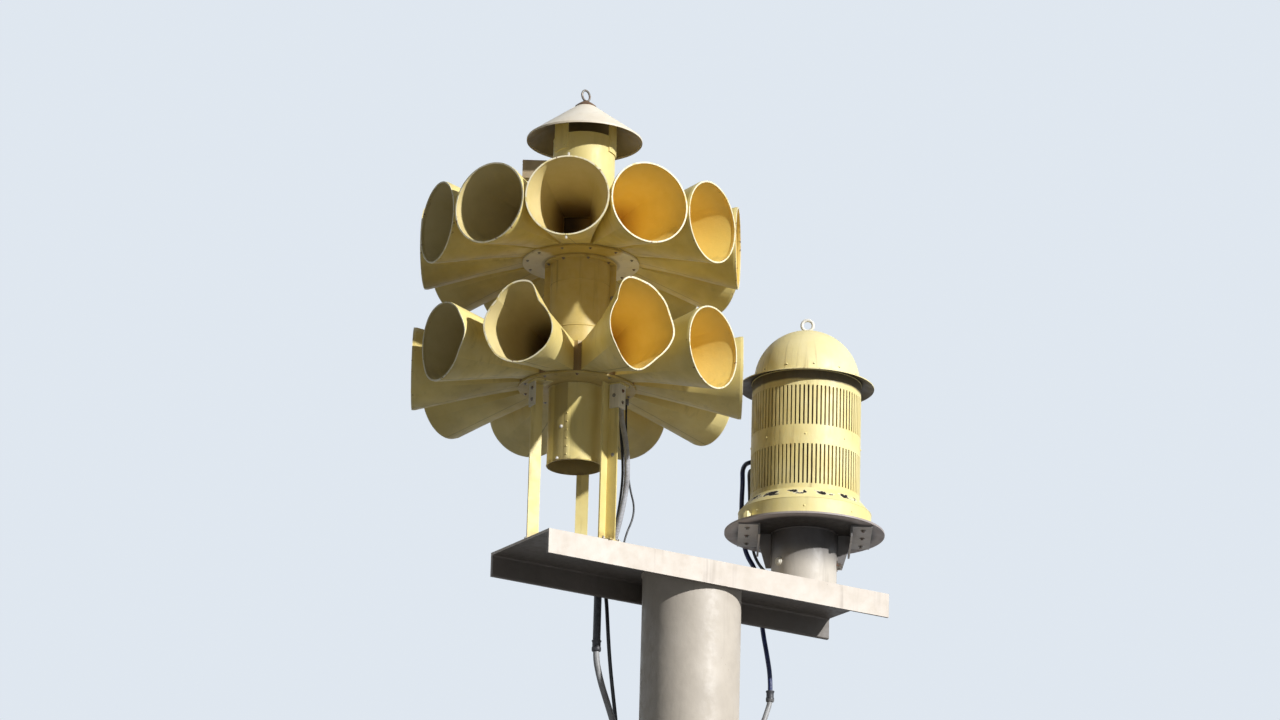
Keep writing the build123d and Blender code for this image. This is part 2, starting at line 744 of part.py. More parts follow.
# Big siren: a black lead, a grey flexible conduit and a thin wire hang from the lower hub
LEAD_START = (-363, 0, LEG_TOP_Z - GLAND_LENGTH)
motor_lead = lead(
    [
        LEAD_START,
        (-363, 0, H + 580),
        (-341, 1, H + 410),
        (-346, 2, H + 290),
        (-366, 6, H + 150),
        (-354, 46, H + 48),
        (-314, 130, DECK_Z + 14),
        (-280, 204, DECK_Z + 46),
        (-258, 268, H + 4),
        (-248, 260, H - 96),
        (-243, 250, H - 230),
        (-229, 249, H - 370),
        (-196, 254, H - 560),
        (-182, 238, H - 720),
        along(LEAD_END, LEAD_WAY, -70),
        LEAD_END,
    ],
    LEAD_R,
)
finish(motor_lead, "motor_lead")

FLEX_START = (-382, -30, LEG_TOP_Z - GLAND_LENGTH)
motor_conduit = lead(
    [
        FLEX_START,
        (-382, -30, H + 610),
        (-354, -38, H + 490),
        (-344, -38, H + 350),
        (-364, -38, H + 220),
        (-388, -30, H + 96),
        (-382, 40, DECK_Z + 14),
        (-352, 114, DECK_Z + 36),
        (-318, 190, H + 84),
        (SLEEVE_X, SLEEVE_Y, H + 30),
        (SLEEVE_X, SLEEVE_Y, SLEEVE_TOP),
    ],
    FLEX_R,
)
finish(motor_conduit, "motor_conduit")

WIRE_START = (-346, -14, LEG_TOP_Z - GLAND_LENGTH)
WIRE_END = (-344, -14, DECK_Z + GLAND_LENGTH)
motor_wire = lead(
    [
        WIRE_START,
        (-346, -14, H + 580),
        (-334, -14, H + 440),
        (-323, -14, H + 325),
        (-286, -14, H + 220),
        (-344, -14, H + 90),
        WIRE_END,
    ],
    WIRE_R,
)
finish(motor_wire, "motor_wire")

# Small siren: a dark blue lead and a thin grey conduit come off its back and hang down past
# the far side of the disc
GLAND_AT = BODY_R + GLAND_LENGTH
GLAND_SLANT = radians(SIREN_GLAND_TURN + 50)
SIREN_WAY = Vector(cos(GLAND_SLANT), sin(GLAND_SLANT), 0)
LEAD_PAST = DISC_R + BLUE_LEAD_R
THIN_PAST = DISC_R + THIN_FLEX_R
BLUE_START = around(SMALL_X, SIREN_GLAND_TURN, GLAND_AT, H + BLUE_GLAND_UP)
BLUE_END = (548, 241, H - 350)
siren_lead = lead(
    [
        BLUE_START,
        along(BLUE_START, SIREN_WAY, 64),
        around(SMALL_X, 119.5, 298, H + 626),
        around(SMALL_X, 123, 284, H + 556),
        around(SMALL_X, 119, 298, H + 474),
        around(SMALL_X, 111, 326, H + 390),
        around(SMALL_X, 104, LEAD_PAST + 6, H + 315),
        around(SMALL_X, 100.5, LEAD_PAST + 5, H + 250),
        around(SMALL_X, 96.5, LEAD_PAST - 28, H + 186),
        (514, 286, H + 96),
        (514, 272, H + 6),
        (518, 262, H - 88),
        (534, 248, H - 196),
        (548, 241, H - 290),
        BLUE_END,
    ],
    BLUE_LEAD_R,
)
finish(siren_lead, "siren_lead")

THIN_START = around(SMALL_X, SIREN_GLAND_TURN, GLAND_AT, H + THIN_GLAND_UP)
THIN_END = (524, 176, DECK_Z + GLAND_LENGTH)
siren_conduit = lead(
    [
        THIN_START,
        along(THIN_START, SIREN_WAY, 44),
        around(SMALL_X, 122, 262, H + 598),
        around(SMALL_X, 124, 254, H + 530),
        around(SMALL_X, 118, 262, H + 450),
        around(SMALL_X, 108, 296, H + 380),
        around(SMALL_X, 97, THIN_PAST + 5, H + 315),
        around(SMALL_X, 93, THIN_PAST + 4, H + 240),
        around(SMALL_X, 93, THIN_PAST - 66, H + 168),
        (524, 176, H + 114),
        THIN_END,
    ],
    THIN_FLEX_R,
)
finish(siren_conduit, "siren_conduit")

# Rigid conduits that take the leads on from below the platform to the pole
left_drop = lead(
    [
        (SLEEVE_X, SLEEVE_Y, SLEEVE_END),
        (SLEEVE_X, SLEEVE_Y, H - 350),
        (-276, SLEEVE_Y - 2, H - 440),
        (-236, SLEEVE_Y - 10, H - 550),
        (-216, 214, H - 640),
        along(LEFT_END, LEFT_WAY, -60),
        LEFT_END,
    ],
    DROP_CONDUIT_R,
)
right_drop = lead(
    [
        BLUE_END,
        (548, 241, H - 400),
        (512, 238, H - 500),
        (420, 222, H - 620),
        (306, 204, H - 718),
        along(RIGHT_END, RIGHT_WAY, -80),
        RIGHT_END,
    ],
    BLUE_DROP_R,
)
with BuildPart() as drop_conduits:
    add(left_drop)
    add(right_drop)
finish(drop_conduits.part, "drop_conduits")


def gland_section(start, away, wire):
    """Round section of the gland that a lead comes out of."""
    with BuildSketch(Plane(origin=start, z_dir=away)) as section:
        Circle(wire + GLAND_WALL)
    return section.sketch


# Glands of the leads, each from the lead's end to its seat, and the sleeve beside the deck
SIREN_GLANDS = [(BLUE_START, BLUE_LEAD_R), (THIN_START, THIN_FLEX_R)]
POLE_GLANDS = [
    (LEAD_END, LEAD_WAY, LEAD_R),
    (LEFT_END, LEFT_WAY, DROP_CONDUIT_R),
    (RIGHT_END, RIGHT_WAY, BLUE_DROP_R),
]
with BuildPart() as lead_glands:
    for start, wire in ((LEAD_START, LEAD_R), (FLEX_START, FLEX_R), (WIRE_START, WIRE_R)):
        extrude(gland_section(start, (0, 0, 1), wire), amount=GLAND_LENGTH)
    for start, wire in ((WIRE_END, WIRE_R), (THIN_END, THIN_FLEX_R)):
        extrude(gland_section(start, (0, 0, -1), wire), amount=GLAND_LENGTH)
    for start, wire in SIREN_GLANDS:
        extrude(gland_section(start, -SIREN_WAY, wire), amount=3 * GLAND_LENGTH)
    with BuildSketch(Plane(origin=(SMALL_X, 0, DISC_Z + DISC_THICK), z_dir=(0, 0, 1))):
        Circle(BODY_R)
    extrude(amount=BODY_TOP - DISC_Z - DISC_THICK, mode=Mode.SUBTRACT)
    for start, way, wire in POLE_GLANDS:
        extrude(gland_section(start, way, wire), amount=POLE_GLAND_LENGTH)
    with BuildSketch(Plane.XY.offset(BASE_THICK)):
        Circle(POLE_OD / 2)
    extrude(amount=PLATFORM_HEIGHT - BASE_THICK, mode=Mode.SUBTRACT)
    with BuildSketch(Plane(origin=(SLEEVE_X, SLEEVE_Y, SLEEVE_END), z_dir=(0, 0, 1))):
        Circle(SLEEVE_R)
    extrude(amount=SLEEVE_TOP - SLEEVE_END)
finish(lead_glands.part, "lead_glands")
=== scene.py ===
import random
from math import cos, pi, radians, sin

import bmesh
import bpy
from mathutils import Matrix, Vector


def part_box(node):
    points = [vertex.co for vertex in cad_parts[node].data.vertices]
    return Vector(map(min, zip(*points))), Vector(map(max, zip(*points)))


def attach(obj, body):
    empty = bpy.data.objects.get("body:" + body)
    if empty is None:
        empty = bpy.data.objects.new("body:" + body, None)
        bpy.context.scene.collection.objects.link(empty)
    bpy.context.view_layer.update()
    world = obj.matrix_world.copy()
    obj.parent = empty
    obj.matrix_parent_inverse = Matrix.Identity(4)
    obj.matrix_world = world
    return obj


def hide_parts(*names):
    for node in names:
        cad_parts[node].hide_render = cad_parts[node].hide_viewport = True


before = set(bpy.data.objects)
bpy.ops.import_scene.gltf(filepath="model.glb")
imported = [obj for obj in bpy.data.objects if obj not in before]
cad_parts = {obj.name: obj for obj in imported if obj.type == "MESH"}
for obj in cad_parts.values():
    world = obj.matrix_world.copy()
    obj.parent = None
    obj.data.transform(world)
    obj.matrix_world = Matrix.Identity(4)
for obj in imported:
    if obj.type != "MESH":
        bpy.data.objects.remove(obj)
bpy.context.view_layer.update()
random.seed(11)

# Camera, at the photograph's place and angle
CAMERA_AT = Vector((-10.41084, -16.52908, 1.58151))
CAMERA_TURN = radians(-31.51)
CAMERA_TILT = radians(-17.99)
CAMERA_ROLL = radians(1.52)
CAMERA_LENS = 139.24
CAMERA_FAR = 500

# Studio
BACKGROUND = (0.74, 0.80, 0.87, 1.0)
KEY_TURN = radians(17.5)
KEY_HEIGHT = radians(23.5)
KEY_STRENGTH = 4.2
KEY_SOFTNESS = radians(1.5)
FILL = (0.93, 0.96, 1.0, 1.0)
FILL_STRENGTH = 0.10
FLOOR_TONES = ((0.70, 0.71, 0.72, 1), (0.74, 0.75, 0.76, 1))
FLOOR_BOUNCE = (0.22, 0.22, 0.22, 1)
FLOOR_RADIUS = 160.0
FADE_FROM = 9.0
FADE_TO = 45.0


def srgb(red, green, blue):
    """Linear colour of a paint that is named by its 0 to 255 values."""
    shares = [value / 255 for value in (red, green, blue)]
    linear = [s / 12.92 if s <= 0.04045 else ((s + 0.055) / 1.055) ** 2.4 for s in shares]
    return (*linear, 1.0)


def node_centre(name):
    low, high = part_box(name)
    return (low + high) / 2


def node_top(name):
    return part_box(name)[1].z


def node_foot(name):
    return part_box(name)[0].z


def foot_and_top(name):
    return node_foot(name), node_top(name)


# Places read from the frame
UP = Vector((0, 0, 1))
DOWN = -UP
BIG = Vector((node_centre("upper_hub").x, 0, 0))
SMALL = Vector((node_centre("slotted_body").x, 0, 0))
DECK = node_top("platform_channel")
WEB_UNDER = node_top("pole")
DISC_TOP = node_top("base_disc")
DISC_UNDER = node_foot("base_disc")
BRIM_Z = node_foot("dome")
POLE_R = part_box("pole")[1].x
CAN_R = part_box("intake_can")[1].x - BIG.x
HOUSING_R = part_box("motor_housing")[1].x - BIG.x
BODY_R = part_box("slotted_body")[1].x - SMALL.x
SKIRT_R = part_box("body_skirt")[1].x - SMALL.x
STUB_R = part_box("stub_pipe")[1].x - SMALL.x

# Rings of horns: how many, the first one's angle and the height of their axes
RINGS = {
    "upper": (12, radians(-126.3), node_centre("upper_hub").z),
    "lower": (10, radians(-139.2), node_centre("lower_hub").z),
}

# Sizes and angles that the frame doesn't give
MOUTH_AT = {"upper": 0.647, "lower": 0.672}
MOUTH_R = 0.169
THROAT = (0.114, 0.120)
HUB_APOTHEM = 0.232
NECK_R = 0.128
HAT_REACH = 0.226
HAT_RISE = 0.167
HAT_SLOPE = 0.6365
HAT_TIP_R = 0.014
HAT_BRIM_R = 0.2376
LEG_COUNT = 3
LEG_FIRST = radians(-63.9)
LEG_AT = 0.154
LEG_SIZE = 0.051
LEG_THICK = 0.0064
STRAP_COUNT = 3
STRAP_FIRST = radians(-171.3)
BRACE_DIR = radians(-39.8)
RAIL_DIR = radians(-32)
BOX_TURN = radians(149.2)
BOX_FACE = 0.253
DOME_R = 0.222
RIB_COUNT = 4
RIB_THICK = 0.016
ANCHOR_COUNT = 4
ANCHOR_AT = 0.370
ANCHOR_FIRST = radians(45)

# Small details
# Horns and ports that face this way get a golden lining as painted light, the others a darker one as painted
# shade
SUNLIT_DIR = radians(-60)
HUB_BOLTS_AT = 0.222
HUB_BOLT = 0.007
SMALL_BOLT = 0.008
BRACE_BOLT = 0.011
FOOT_BOLT = 0.012
STUB_BOLT = 0.024
STUB_BOLT_TURN = radians(-33)
ANCHOR_NUT = 0.055
TAB_SIZE = (0.009, 0.016)
TAB_EVERY = 4
HOUSING_FLANGE = 0.024
HOUSING_BOLTS = 8
HOUSING_BOLTS_FIRST = radians(-108)
HOUSING_SEAM = radians(96)
CAN_SEAM = radians(-139)
NECK_SEAM = radians(70)
HAT_SEAMS = (radians(75), radians(-15), radians(165))
SMALL_SEAM = radians(80)
BODY_SCREWS = 8
BODY_SCREWS_FIRST = radians(11)
DOME_SCREWS = 12
DOME_SCREWS_FIRST = radians(4)
LUG_TURN = radians(184)
LUG_AT = 0.300
STUB_PLUG_TURN = radians(-173)

# Heights over the underside of the platform's web
BRACE_BOLT_Z = WEB_UNDER + 1.080
BODY_SCREWS_Z = WEB_UNDER + 0.643
LEG_BOLT_Z = WEB_UNDER + 0.388
TEARS_Z = WEB_UNDER + 0.385
STUB_BOLT_Z = WEB_UNDER + 0.139
STUB_PLUG_Z = WEB_UNDER + 0.130

# Colours that many paints share
RUST = srgb(112, 62, 30)
RUST_PALE = srgb(158, 98, 52)
# Colour of dirt, also laid as painted shade on the faces that look down
DIRT_AND_SHADE = srgb(74, 60, 42)
# Dark laid as painted shade under the middle of the small siren's disc
UNDERSIDE_SHADE = srgb(30, 26, 22)
CHALK = srgb(244, 236, 214)
# Brown of dirt at the can's foot, also laid as painted shade inside the can
BROWN_DIRT_AND_SHADE = srgb(96, 74, 48)


class Coat:
    """Node material that is built up layer by layer on one principled shader."""

    def __init__(self, name):
        self.material = bpy.data.materials.new(name)
        self.material.use_nodes = True
        self.tree = self.material.node_tree
        self.tree.nodes.clear()
        self.shader = self.node("BsdfPrincipled")
        self.output = self.node("OutputMaterial")
        self.join(self.shader.outputs["BSDF"], self.output.inputs["Surface"])
        self.point = self.node("TexCoord").outputs["Object"]
        self.x, self.y, self.z = self.parts(self.point)
        self.normal = self.parts(self.node("NewGeometry").outputs["Normal"])
        self.colour = self.roughness = self.relief = None

    def node(self, kind):
        return self.tree.nodes.new(f"ShaderNode{kind}")

    def join(self, source, target):
        self.tree.links.new(source, target)

    def feed(self, target, value):
        """Set a socket to a number or colour, or join another node's output to it."""
        if isinstance(value, bpy.types.NodeSocket):
            self.join(value, target)
        else:
            target.default_value = value

    def math(self, operation, first, second=0.0):
        node = self.node("Math")
        node.operation = operation
        self.feed(node.inputs[0], first)
        self.feed(node.inputs[1], second)
        return node.outputs[0]

    def plus(self, first, second):
        return self.math("ADD", first, second)

    def minus(self, first, second):
        return self.math("SUBTRACT", first, second)

    def times(self, *values):
        product = values[0]
        for value in values[1:]:
            product = self.math("MULTIPLY", product, value)
        return product

    def near(self, turn, angle=None):
        """Cosine of an angle's distance from a direction."""
        return self.math("COSINE", self.minus(angle or self.angle, turn))

    def parts(self, vector):
        node = self.node("SeparateXYZ")
        self.join(vector, node.inputs[0])
        return node.outputs

    def shifted(self, scale=(1, 1, 1), offset=(0, 0, 0), point=None):
        node = self.node("Mapping")
        node.inputs["Location"].default_value = offset
        node.inputs["Scale"].default_value = scale
        self.join(point or self.point, node.inputs["Vector"])
        return node.outputs[0]

    def centre_on(self, centre):
        """Find the distance of a point from an upright axis, and its angle round it."""
        x, y = self.parts(self.shifted(offset=(-centre.x, -centre.y, 0)))[:2]
        self.reach = self.math("SQRT", self.plus(self.times(x, x), self.times(y, y)))
        self.angle = self.math("ARCTAN2", y, x)

    def unrolled(self, reach):
        """Place on a round wall as if it were laid flat."""
        node = self.node("CombineXYZ")
        self.join(self.times(self.angle, reach), node.inputs[0])
        self.join(self.z, node.inputs[2])
        return node.outputs[0]

    def noise(self, scale, detail, stretch=(1, 1, 1), offset=(0, 0, 0), point=None):
        node = self.node("TexNoise")
        node.inputs["Scale"].default_value = scale
        node.inputs["Detail"].default_value = detail
        node.inputs["Roughness"].default_value = 0.6
        self.join(self.shifted(stretch, offset, point), node.inputs["Vector"])
        return node.outputs["Fac"]

    def cells(self, scale):
        node = self.node("TexVoronoi")
        node.inputs["Scale"].default_value = scale
        self.join(self.shifted(), node.inputs["Vector"])
        return node.outputs["Distance"]

    def ramp(self, value, low, high, start=0.0, end=1.0):
        """Smooth step of a value between two of its levels."""
        node = self.node("MapRange")
        node.interpolation_type = "SMOOTHSTEP"
        for socket, number in zip(list(node.inputs)[1:5], (low, high, start, end)):
            socket.default_value = number
        self.join(value, node.inputs[0])
        return node.outputs[0]

    def patches(self, scale, detail, low, high, **placed):
        """Noise as patches, from none at its low level to full at its high one."""
        return self.ramp(self.noise(scale, detail, **placed), low, high)

    def mix(self, share, first, second):
        node = self.node("Mix")
        node.data_type = "RGBA"
        self.feed(node.inputs["Factor"], share)
        self.feed(node.inputs[6], first)
        self.feed(node.inputs[7], second)
        return node.outputs[2]

    def lay(self, colour, *shares):
        """Lay one more colour over those that are there, as far as its shares let it cover."""
        self.colour = self.mix(self.times(*shares), self.colour, colour)

    def bump(self, height, depth):
        """Lay one more relief, its depth in metres, over those that are there."""
        node = self.node("Bump")
        node.inputs["Distance"].default_value = depth
        self.join(height, node.inputs["Height"])
        if self.relief is not None:
            self.join(self.relief, node.inputs["Normal"])
        self.relief = node.outputs["Normal"]

    def weather(self, paint, faded, streaks=0.5, grime=0.5, rust=0.3, dust=0.3, mottle=0.1):
        """Sun-faded paint with chalk, rain streaks, dirt and painted shade on the faces that look down,
        settled dust and rust specks.
        """
        self.colour = self.mix(self.patches(3.1, 5, 0.35, 0.68), paint, faded)
        chalk = self.patches(23, 6, 0.3, 0.75)
        self.lay(CHALK, chalk, mottle)
        runs = self.patches(26, 4, 0.52, 0.74, stretch=(1, 1, 0.07))
        self.lay(DIRT_AND_SHADE, runs, self.patches(2.3, 3, 0.42, 0.62, offset=(3, 1, 7)), streaks)
        # Painted shade, with some dirt, on the faces that look down.
        down = self.ramp(self.times(self.normal[2], -1), 0.2, 0.9)
        self.lay(DIRT_AND_SHADE, down, self.patches(3.4, 4, 0.2, 0.8, offset=(5, 2, 1)), grime)
        up = self.ramp(self.normal[2], 0.5, 0.95)
        self.lay(DIRT_AND_SHADE, up, self.patches(11, 5, 0.45, 0.75, offset=(1, 8, 3)), dust)
        specks = self.patches(95, 3, 0.70, 0.76)
        spots = self.patches(5.3, 3, 0.5, 0.66, offset=(9, 4, 2))
        self.lay(RUST, self.math("MINIMUM", self.times(specks, spots, rust * 2), 1.0))
        self.bump(self.noise(260, 3), 0.0003)
        self.bump(self.noise(14, 3, offset=(2, 2, 2)), 0.0014)
        self.roughness = self.ramp(chalk, 0.0, 1.0, 0.46, 0.66)

    def done(self, metallic=0.0):
        self.feed(self.shader.inputs["Base Color"], self.colour)
        self.feed(self.shader.inputs["Roughness"], self.roughness)
        self.feed(self.shader.inputs["Metallic"], metallic)
        if self.relief is not None:
            self.join(self.relief, self.shader.inputs["Normal"])
        return self.material


def weathered(name, paint, faded, **weather):
    coat = Coat(name)
    coat.weather(paint, faded, **weather)
    return coat


def place_on_horn(coat, count, first, ring_z):
    """Direction of a point's horn, the point's place along, across and above its axis, and the inside."""
    coat.centre_on(BIG)
    step = 2 * pi / count
    nearest = coat.math("ROUND", coat.math("DIVIDE", coat.minus(coat.angle, first), step))
    horn_turn = coat.plus(coat.times(nearest, step), first)
    local = coat.minus(coat.angle, horn_turn)
    along = coat.times(coat.reach, coat.math("COSINE", local))
    across = coat.times(coat.reach, coat.math("SINE", local))
    up = coat.minus(coat.z, ring_z)
    side_x = coat.times(coat.math("SINE", horn_turn), -1)
    side_y = coat.math("COSINE", horn_turn)
    sideways = coat.plus(coat.times(coat.normal[0], side_x), coat.times(coat.normal[1], side_y))
    facing = coat.plus(coat.times(sideways, across), coat.times(coat.normal[2], up))
    return horn_turn, along, across, up, coat.ramp(facing, 0.0, -0.01)


def horn_paint(ring):
    """Pale yellow outside; inside, as painted light, golden where the horn faces the key light and khaki
    where it is in shade, with painted shade towards the throat; a pale rim round the mouth as painted
    highlight.
    """
    coat = Coat(f"{ring}_horn_paint")
    horn_turn, along, across, up, inside = place_on_horn(coat, *RINGS[ring])
    mouth_at = MOUTH_AT[ring]
    coat.weather(
        srgb(228, 206, 124), srgb(240, 222, 148), streaks=0.2, grime=0.45, rust=0.2, mottle=0.05
    )
    line = coat.ramp(coat.math("ABSOLUTE", across), 0.0026, 0.0010)
    seam = coat.times(line, coat.ramp(up, -0.02, -0.04))
    coat.lay(DIRT_AND_SHADE, seam, 0.45)
    blotches = coat.patches(5, 4, 0.3, 0.7, offset=(4, 4, 4))
    # Painted light: golden lining where the horn faces the key light, khaki where it is in shade.
    sunlit_gold = coat.mix(blotches, srgb(238, 208, 110), srgb(246, 218, 128))
    khaki = coat.mix(blotches, srgb(214, 196, 134), srgb(226, 208, 152))
    sunlit_share = coat.ramp(coat.near(SUNLIT_DIR, horn_turn), 0.3, 0.8)
    lining = coat.mix(sunlit_share, khaki, sunlit_gold)
    # Painted shade that deepens towards the throat.
    depth = coat.ramp(along, mouth_at - 0.16, mouth_at - 0.44)
    ragged = coat.plus(depth, coat.times(coat.noise(7, 3), 0.25))
    deep_shade = coat.mix(sunlit_share, srgb(120, 90, 48), srgb(222, 180, 92))
    lining = coat.mix(coat.ramp(ragged, 0.35, 1.15), lining, deep_shade)
    low = coat.ramp(up, -0.02, -0.16)
    runs = coat.patches(34, 4, 0.42, 0.66, stretch=(1, 1, 0.12), offset=(6, 3, 9))
    lining = coat.mix(coat.times(low, runs, 0.25), lining, DIRT_AND_SHADE)
    lining = coat.mix(coat.times(seam, 0.6), lining, DIRT_AND_SHADE)
    coat.lay(lining, inside)
    # Painted highlight: a pale rim round the mouth.
    rim = coat.ramp(along, mouth_at - 0.0035, mouth_at - 0.0015)
    coat.lay(srgb(250, 240, 205), rim, coat.patches(40, 4, 0.34, 0.5, offset=(7, 7, 7)))
    lip = coat.ramp(along, mouth_at - 0.022, mouth_at - 0.004)
    coat.lay(RUST, lip, coat.patches(46, 5, 0.62, 0.70, offset=(1, 6, 2)))
    coat.bump(seam, 0.0012)
    return coat.done()


def hub_coat(name):
    """Khaki-yellow paint, thick with dirt, and with painted shade on the faces that look down."""
    return weathered(name, srgb(202, 176, 96), srgb(218, 196, 124), grime=0.4, rust=0.5, dust=0.5)


def hub_ring_paint():
    """The hubs' paint on the faces of a ring, browner on the lower one for dirt and painted shade between the
    horns, and with painted shade inside the ports, golden as painted light where they face the key light.
    """
    coat = hub_coat("hub_ring_paint")
    coat.centre_on(BIG)
    lower_z = RINGS["lower"][2]
    # Browner lower ring, for dirt and painted shade between the horns.
    coat.lay(srgb(128, 100, 68), coat.ramp(coat.z, lower_z + 0.075, lower_z + 0.045), 0.85)
    # Painted shade inside the ports, golden as painted light where they face the key light.
    inside = coat.ramp(coat.reach, HUB_APOTHEM - 0.003, HUB_APOTHEM - 0.012)
    sunlit_share = coat.ramp(coat.near(SUNLIT_DIR), 0.3, 0.8)
    coat.lay(coat.mix(sunlit_share, srgb(84, 66, 42), srgb(206, 164, 86)), inside)
    coat.roughness = coat.math("MAXIMUM", coat.roughness, inside)
    return coat.done()


def floor_plate_paint():
    """Underside of the upper hub: pale at the sides, khaki towards the front."""
    coat = weathered(
        "floor_plate_paint", srgb(222, 212, 188), srgb(236, 228, 208), streaks=0.3, grime=0.05, rust=0.8
    )
    coat.centre_on(BIG)
    ragged = coat.plus(coat.near(radians(-121)), coat.times(coat.noise(11, 4), 0.4))
    khaki = coat.mix(coat.patches(6, 4, 0.3, 0.7), srgb(190, 164, 88), srgb(206, 182, 108))
    coat.lay(khaki, coat.ramp(ragged, 0.86, 1.0))
    dirt_ring = coat.ramp(coat.math("ABSOLUTE", coat.minus(coat.reach, 0.150)), 0.016, 0.004)
    coat.lay(DIRT_AND_SHADE, dirt_ring, 0.35)
    return coat.done()


def leg_paint():
    """Pale yellow, rusty at the legs' feet."""
    coat = weathered(
        "leg_paint", srgb(228, 208, 132), srgb(240, 226, 158), grime=0.4, rust=0.5, mottle=0.06
    )
    coat.lay(RUST, coat.ramp(coat.z, DECK + 0.07, DECK), coat.patches(34, 5, 0.38, 0.62), 0.7)
    return coat.done()


def can_paint():
    """Pale yellow, darker beside the seam, brown with dirt at the open foot and with painted shade inside."""
    coat = weathered(
        "can_paint", srgb(226, 206, 128), srgb(238, 222, 154), streaks=0.25, grime=0.4, mottle=0.05
    )
    foot = node_foot("intake_can")
    coat.lay(BROWN_DIRT_AND_SHADE, coat.ramp(coat.z, foot + 0.02, foot), coat.patches(30, 4, 0.4, 0.6), 0.5)
    coat.centre_on(BIG)
    before_seam = coat.ramp(coat.angle, CAN_SEAM + 0.01, CAN_SEAM - 0.01)
    after_start = coat.ramp(coat.angle, radians(-175), radians(-170))
    coat.lay(srgb(150, 128, 76), before_seam, after_start, 0.5)
    # Painted shade inside the can.
    coat.lay(BROWN_DIRT_AND_SHADE, coat.ramp(coat.reach, CAN_R - 0.001, CAN_R - 0.0025), 0.6)
    return coat.done()


def hat_paint():
    """Cream above, with painted shade below."""
    coat = weathered(
        "hat_paint", srgb(238, 226, 204), srgb(246, 238, 222), streaks=0.1, grime=0.0, rust=0.2, dust=0.06
    )
    # Painted shade on the faces that look down.
    shaded_underside = coat.mix(coat.patches(6, 4, 0.3, 0.7), srgb(134, 118, 86), srgb(108, 94, 70))
    coat.lay(shaded_underside, coat.ramp(coat.normal[2], 0.05, -0.25))
    return coat.done()


def dome_paint():
    """Chalky cream with a few brown rain runs down its left side, and painted shade under the brim."""
    coat = weathered(
        "dome_paint", srgb(240, 224, 158), srgb(248, 236, 182), streaks=0.25, grime=0.3, dust=0.1
    )
    coat.centre_on(SMALL)
    runs = coat.patches(7, 5, 0.5, 0.72, stretch=(1, 1, 0.3), point=coat.unrolled(1.4))
    low = coat.ramp(coat.z, BRIM_Z + 0.20, BRIM_Z + 0.04)
    left = coat.ramp(coat.near(radians(-160)), 0.1, 0.9)
    coat.lay(srgb(120, 92, 52), runs, low, left, 0.7)
    # Painted shade under the brim.
    coat.lay(srgb(62, 50, 42), coat.ramp(coat.normal[2], -0.05, -0.4), 0.9)
    return coat.done()


def siren_paint():
    """Yellow-cream paint of the slotted body, with painted shade in its slots and a painted shadow under the
    brim.
    """
    coat = weathered(
        "siren_paint", srgb(240, 220, 142), srgb(248, 234, 170), streaks=0.3, grime=0.3, mottle=0.08
    )
    coat.centre_on(SMALL)
    wall = coat.unrolled(BODY_R)
    runs = coat.patches(24, 5, 0.50, 0.72, stretch=(1, 1, 0.16), point=wall)
    left = coat.ramp(coat.near(radians(-175)), -0.4, 0.8, 0.12, 1.0)
    coat.lay(srgb(150, 120, 70), runs, left, 0.6)
    # Painted shade in the slots.
    coat.lay(srgb(96, 66, 48), coat.ramp(coat.reach, BODY_R - 0.0015, BODY_R - 0.009), 0.6)
    # Painted shadow of the brim on the body.
    ragged = coat.plus(coat.z, coat.times(coat.noise(5, 3, point=wall), 0.03))
    coat.lay(srgb(66, 54, 44), coat.ramp(ragged, BRIM_Z - 0.020, BRIM_Z - 0.008), 0.85)
    coat.bump(coat.noise(9, 4, point=wall), 0.004)
    return coat.done()


def skirt_paint():
    """The same cream, its skin flaked off in short black tears at the head of the slope."""
    coat = weathered(
        "skirt_paint", srgb(242, 224, 148), srgb(250, 238, 176), streaks=0.3, grime=0.3, rust=0.4, mottle=0.08
    )
    coat.centre_on(SMALL)
    wall = coat.unrolled(SKIRT_R)
    band = coat.ramp(coat.math("ABSOLUTE", coat.minus(coat.z, TEARS_Z)), 0.024, 0.008)
    left = coat.ramp(coat.near(radians(-165)), 0.75, 0.95)
    torn = coat.noise(17, 3, stretch=(1, 1, 1.6), offset=(2.2, 5, 1), point=wall)
    torn = coat.times(coat.plus(torn, coat.times(left, 0.05)), band)
    tear = coat.ramp(torn, 0.535, 0.555)
    coat.lay(srgb(252, 248, 232), coat.ramp(torn, 0.50, 0.53), 0.7)
    coat.lay(srgb(30, 25, 20), tear)
    coat.bump(coat.ramp(tear, 0.3, 0.6, 1.0, 0.0), 0.0009)
    coat.roughness = coat.math("MAXIMUM", coat.roughness, tear)
    return coat.done()


def grey_coat(name, paint, faded, rust=0.4, grime=0.5):
    """Grey paint of the pole, platform, stub pipe, disc and brackets."""
    return weathered(name, paint, faded, streaks=0.25, grime=grime, rust=rust, dust=0.4, mottle=0.06)


def pole_paint():
    """Warm grey paint with rust creeping up from the base plate."""
    coat = grey_coat("pole_paint", srgb(188, 178, 164), srgb(206, 196, 182))
    creep = coat.plus(coat.z, coat.times(coat.noise(8, 6), 0.5))
    coat.lay(coat.mix(coat.patches(30, 5, 0.35, 0.65), RUST, RUST_PALE), coat.ramp(creep, 0.62, 0.3), 0.85)
    return coat.done()


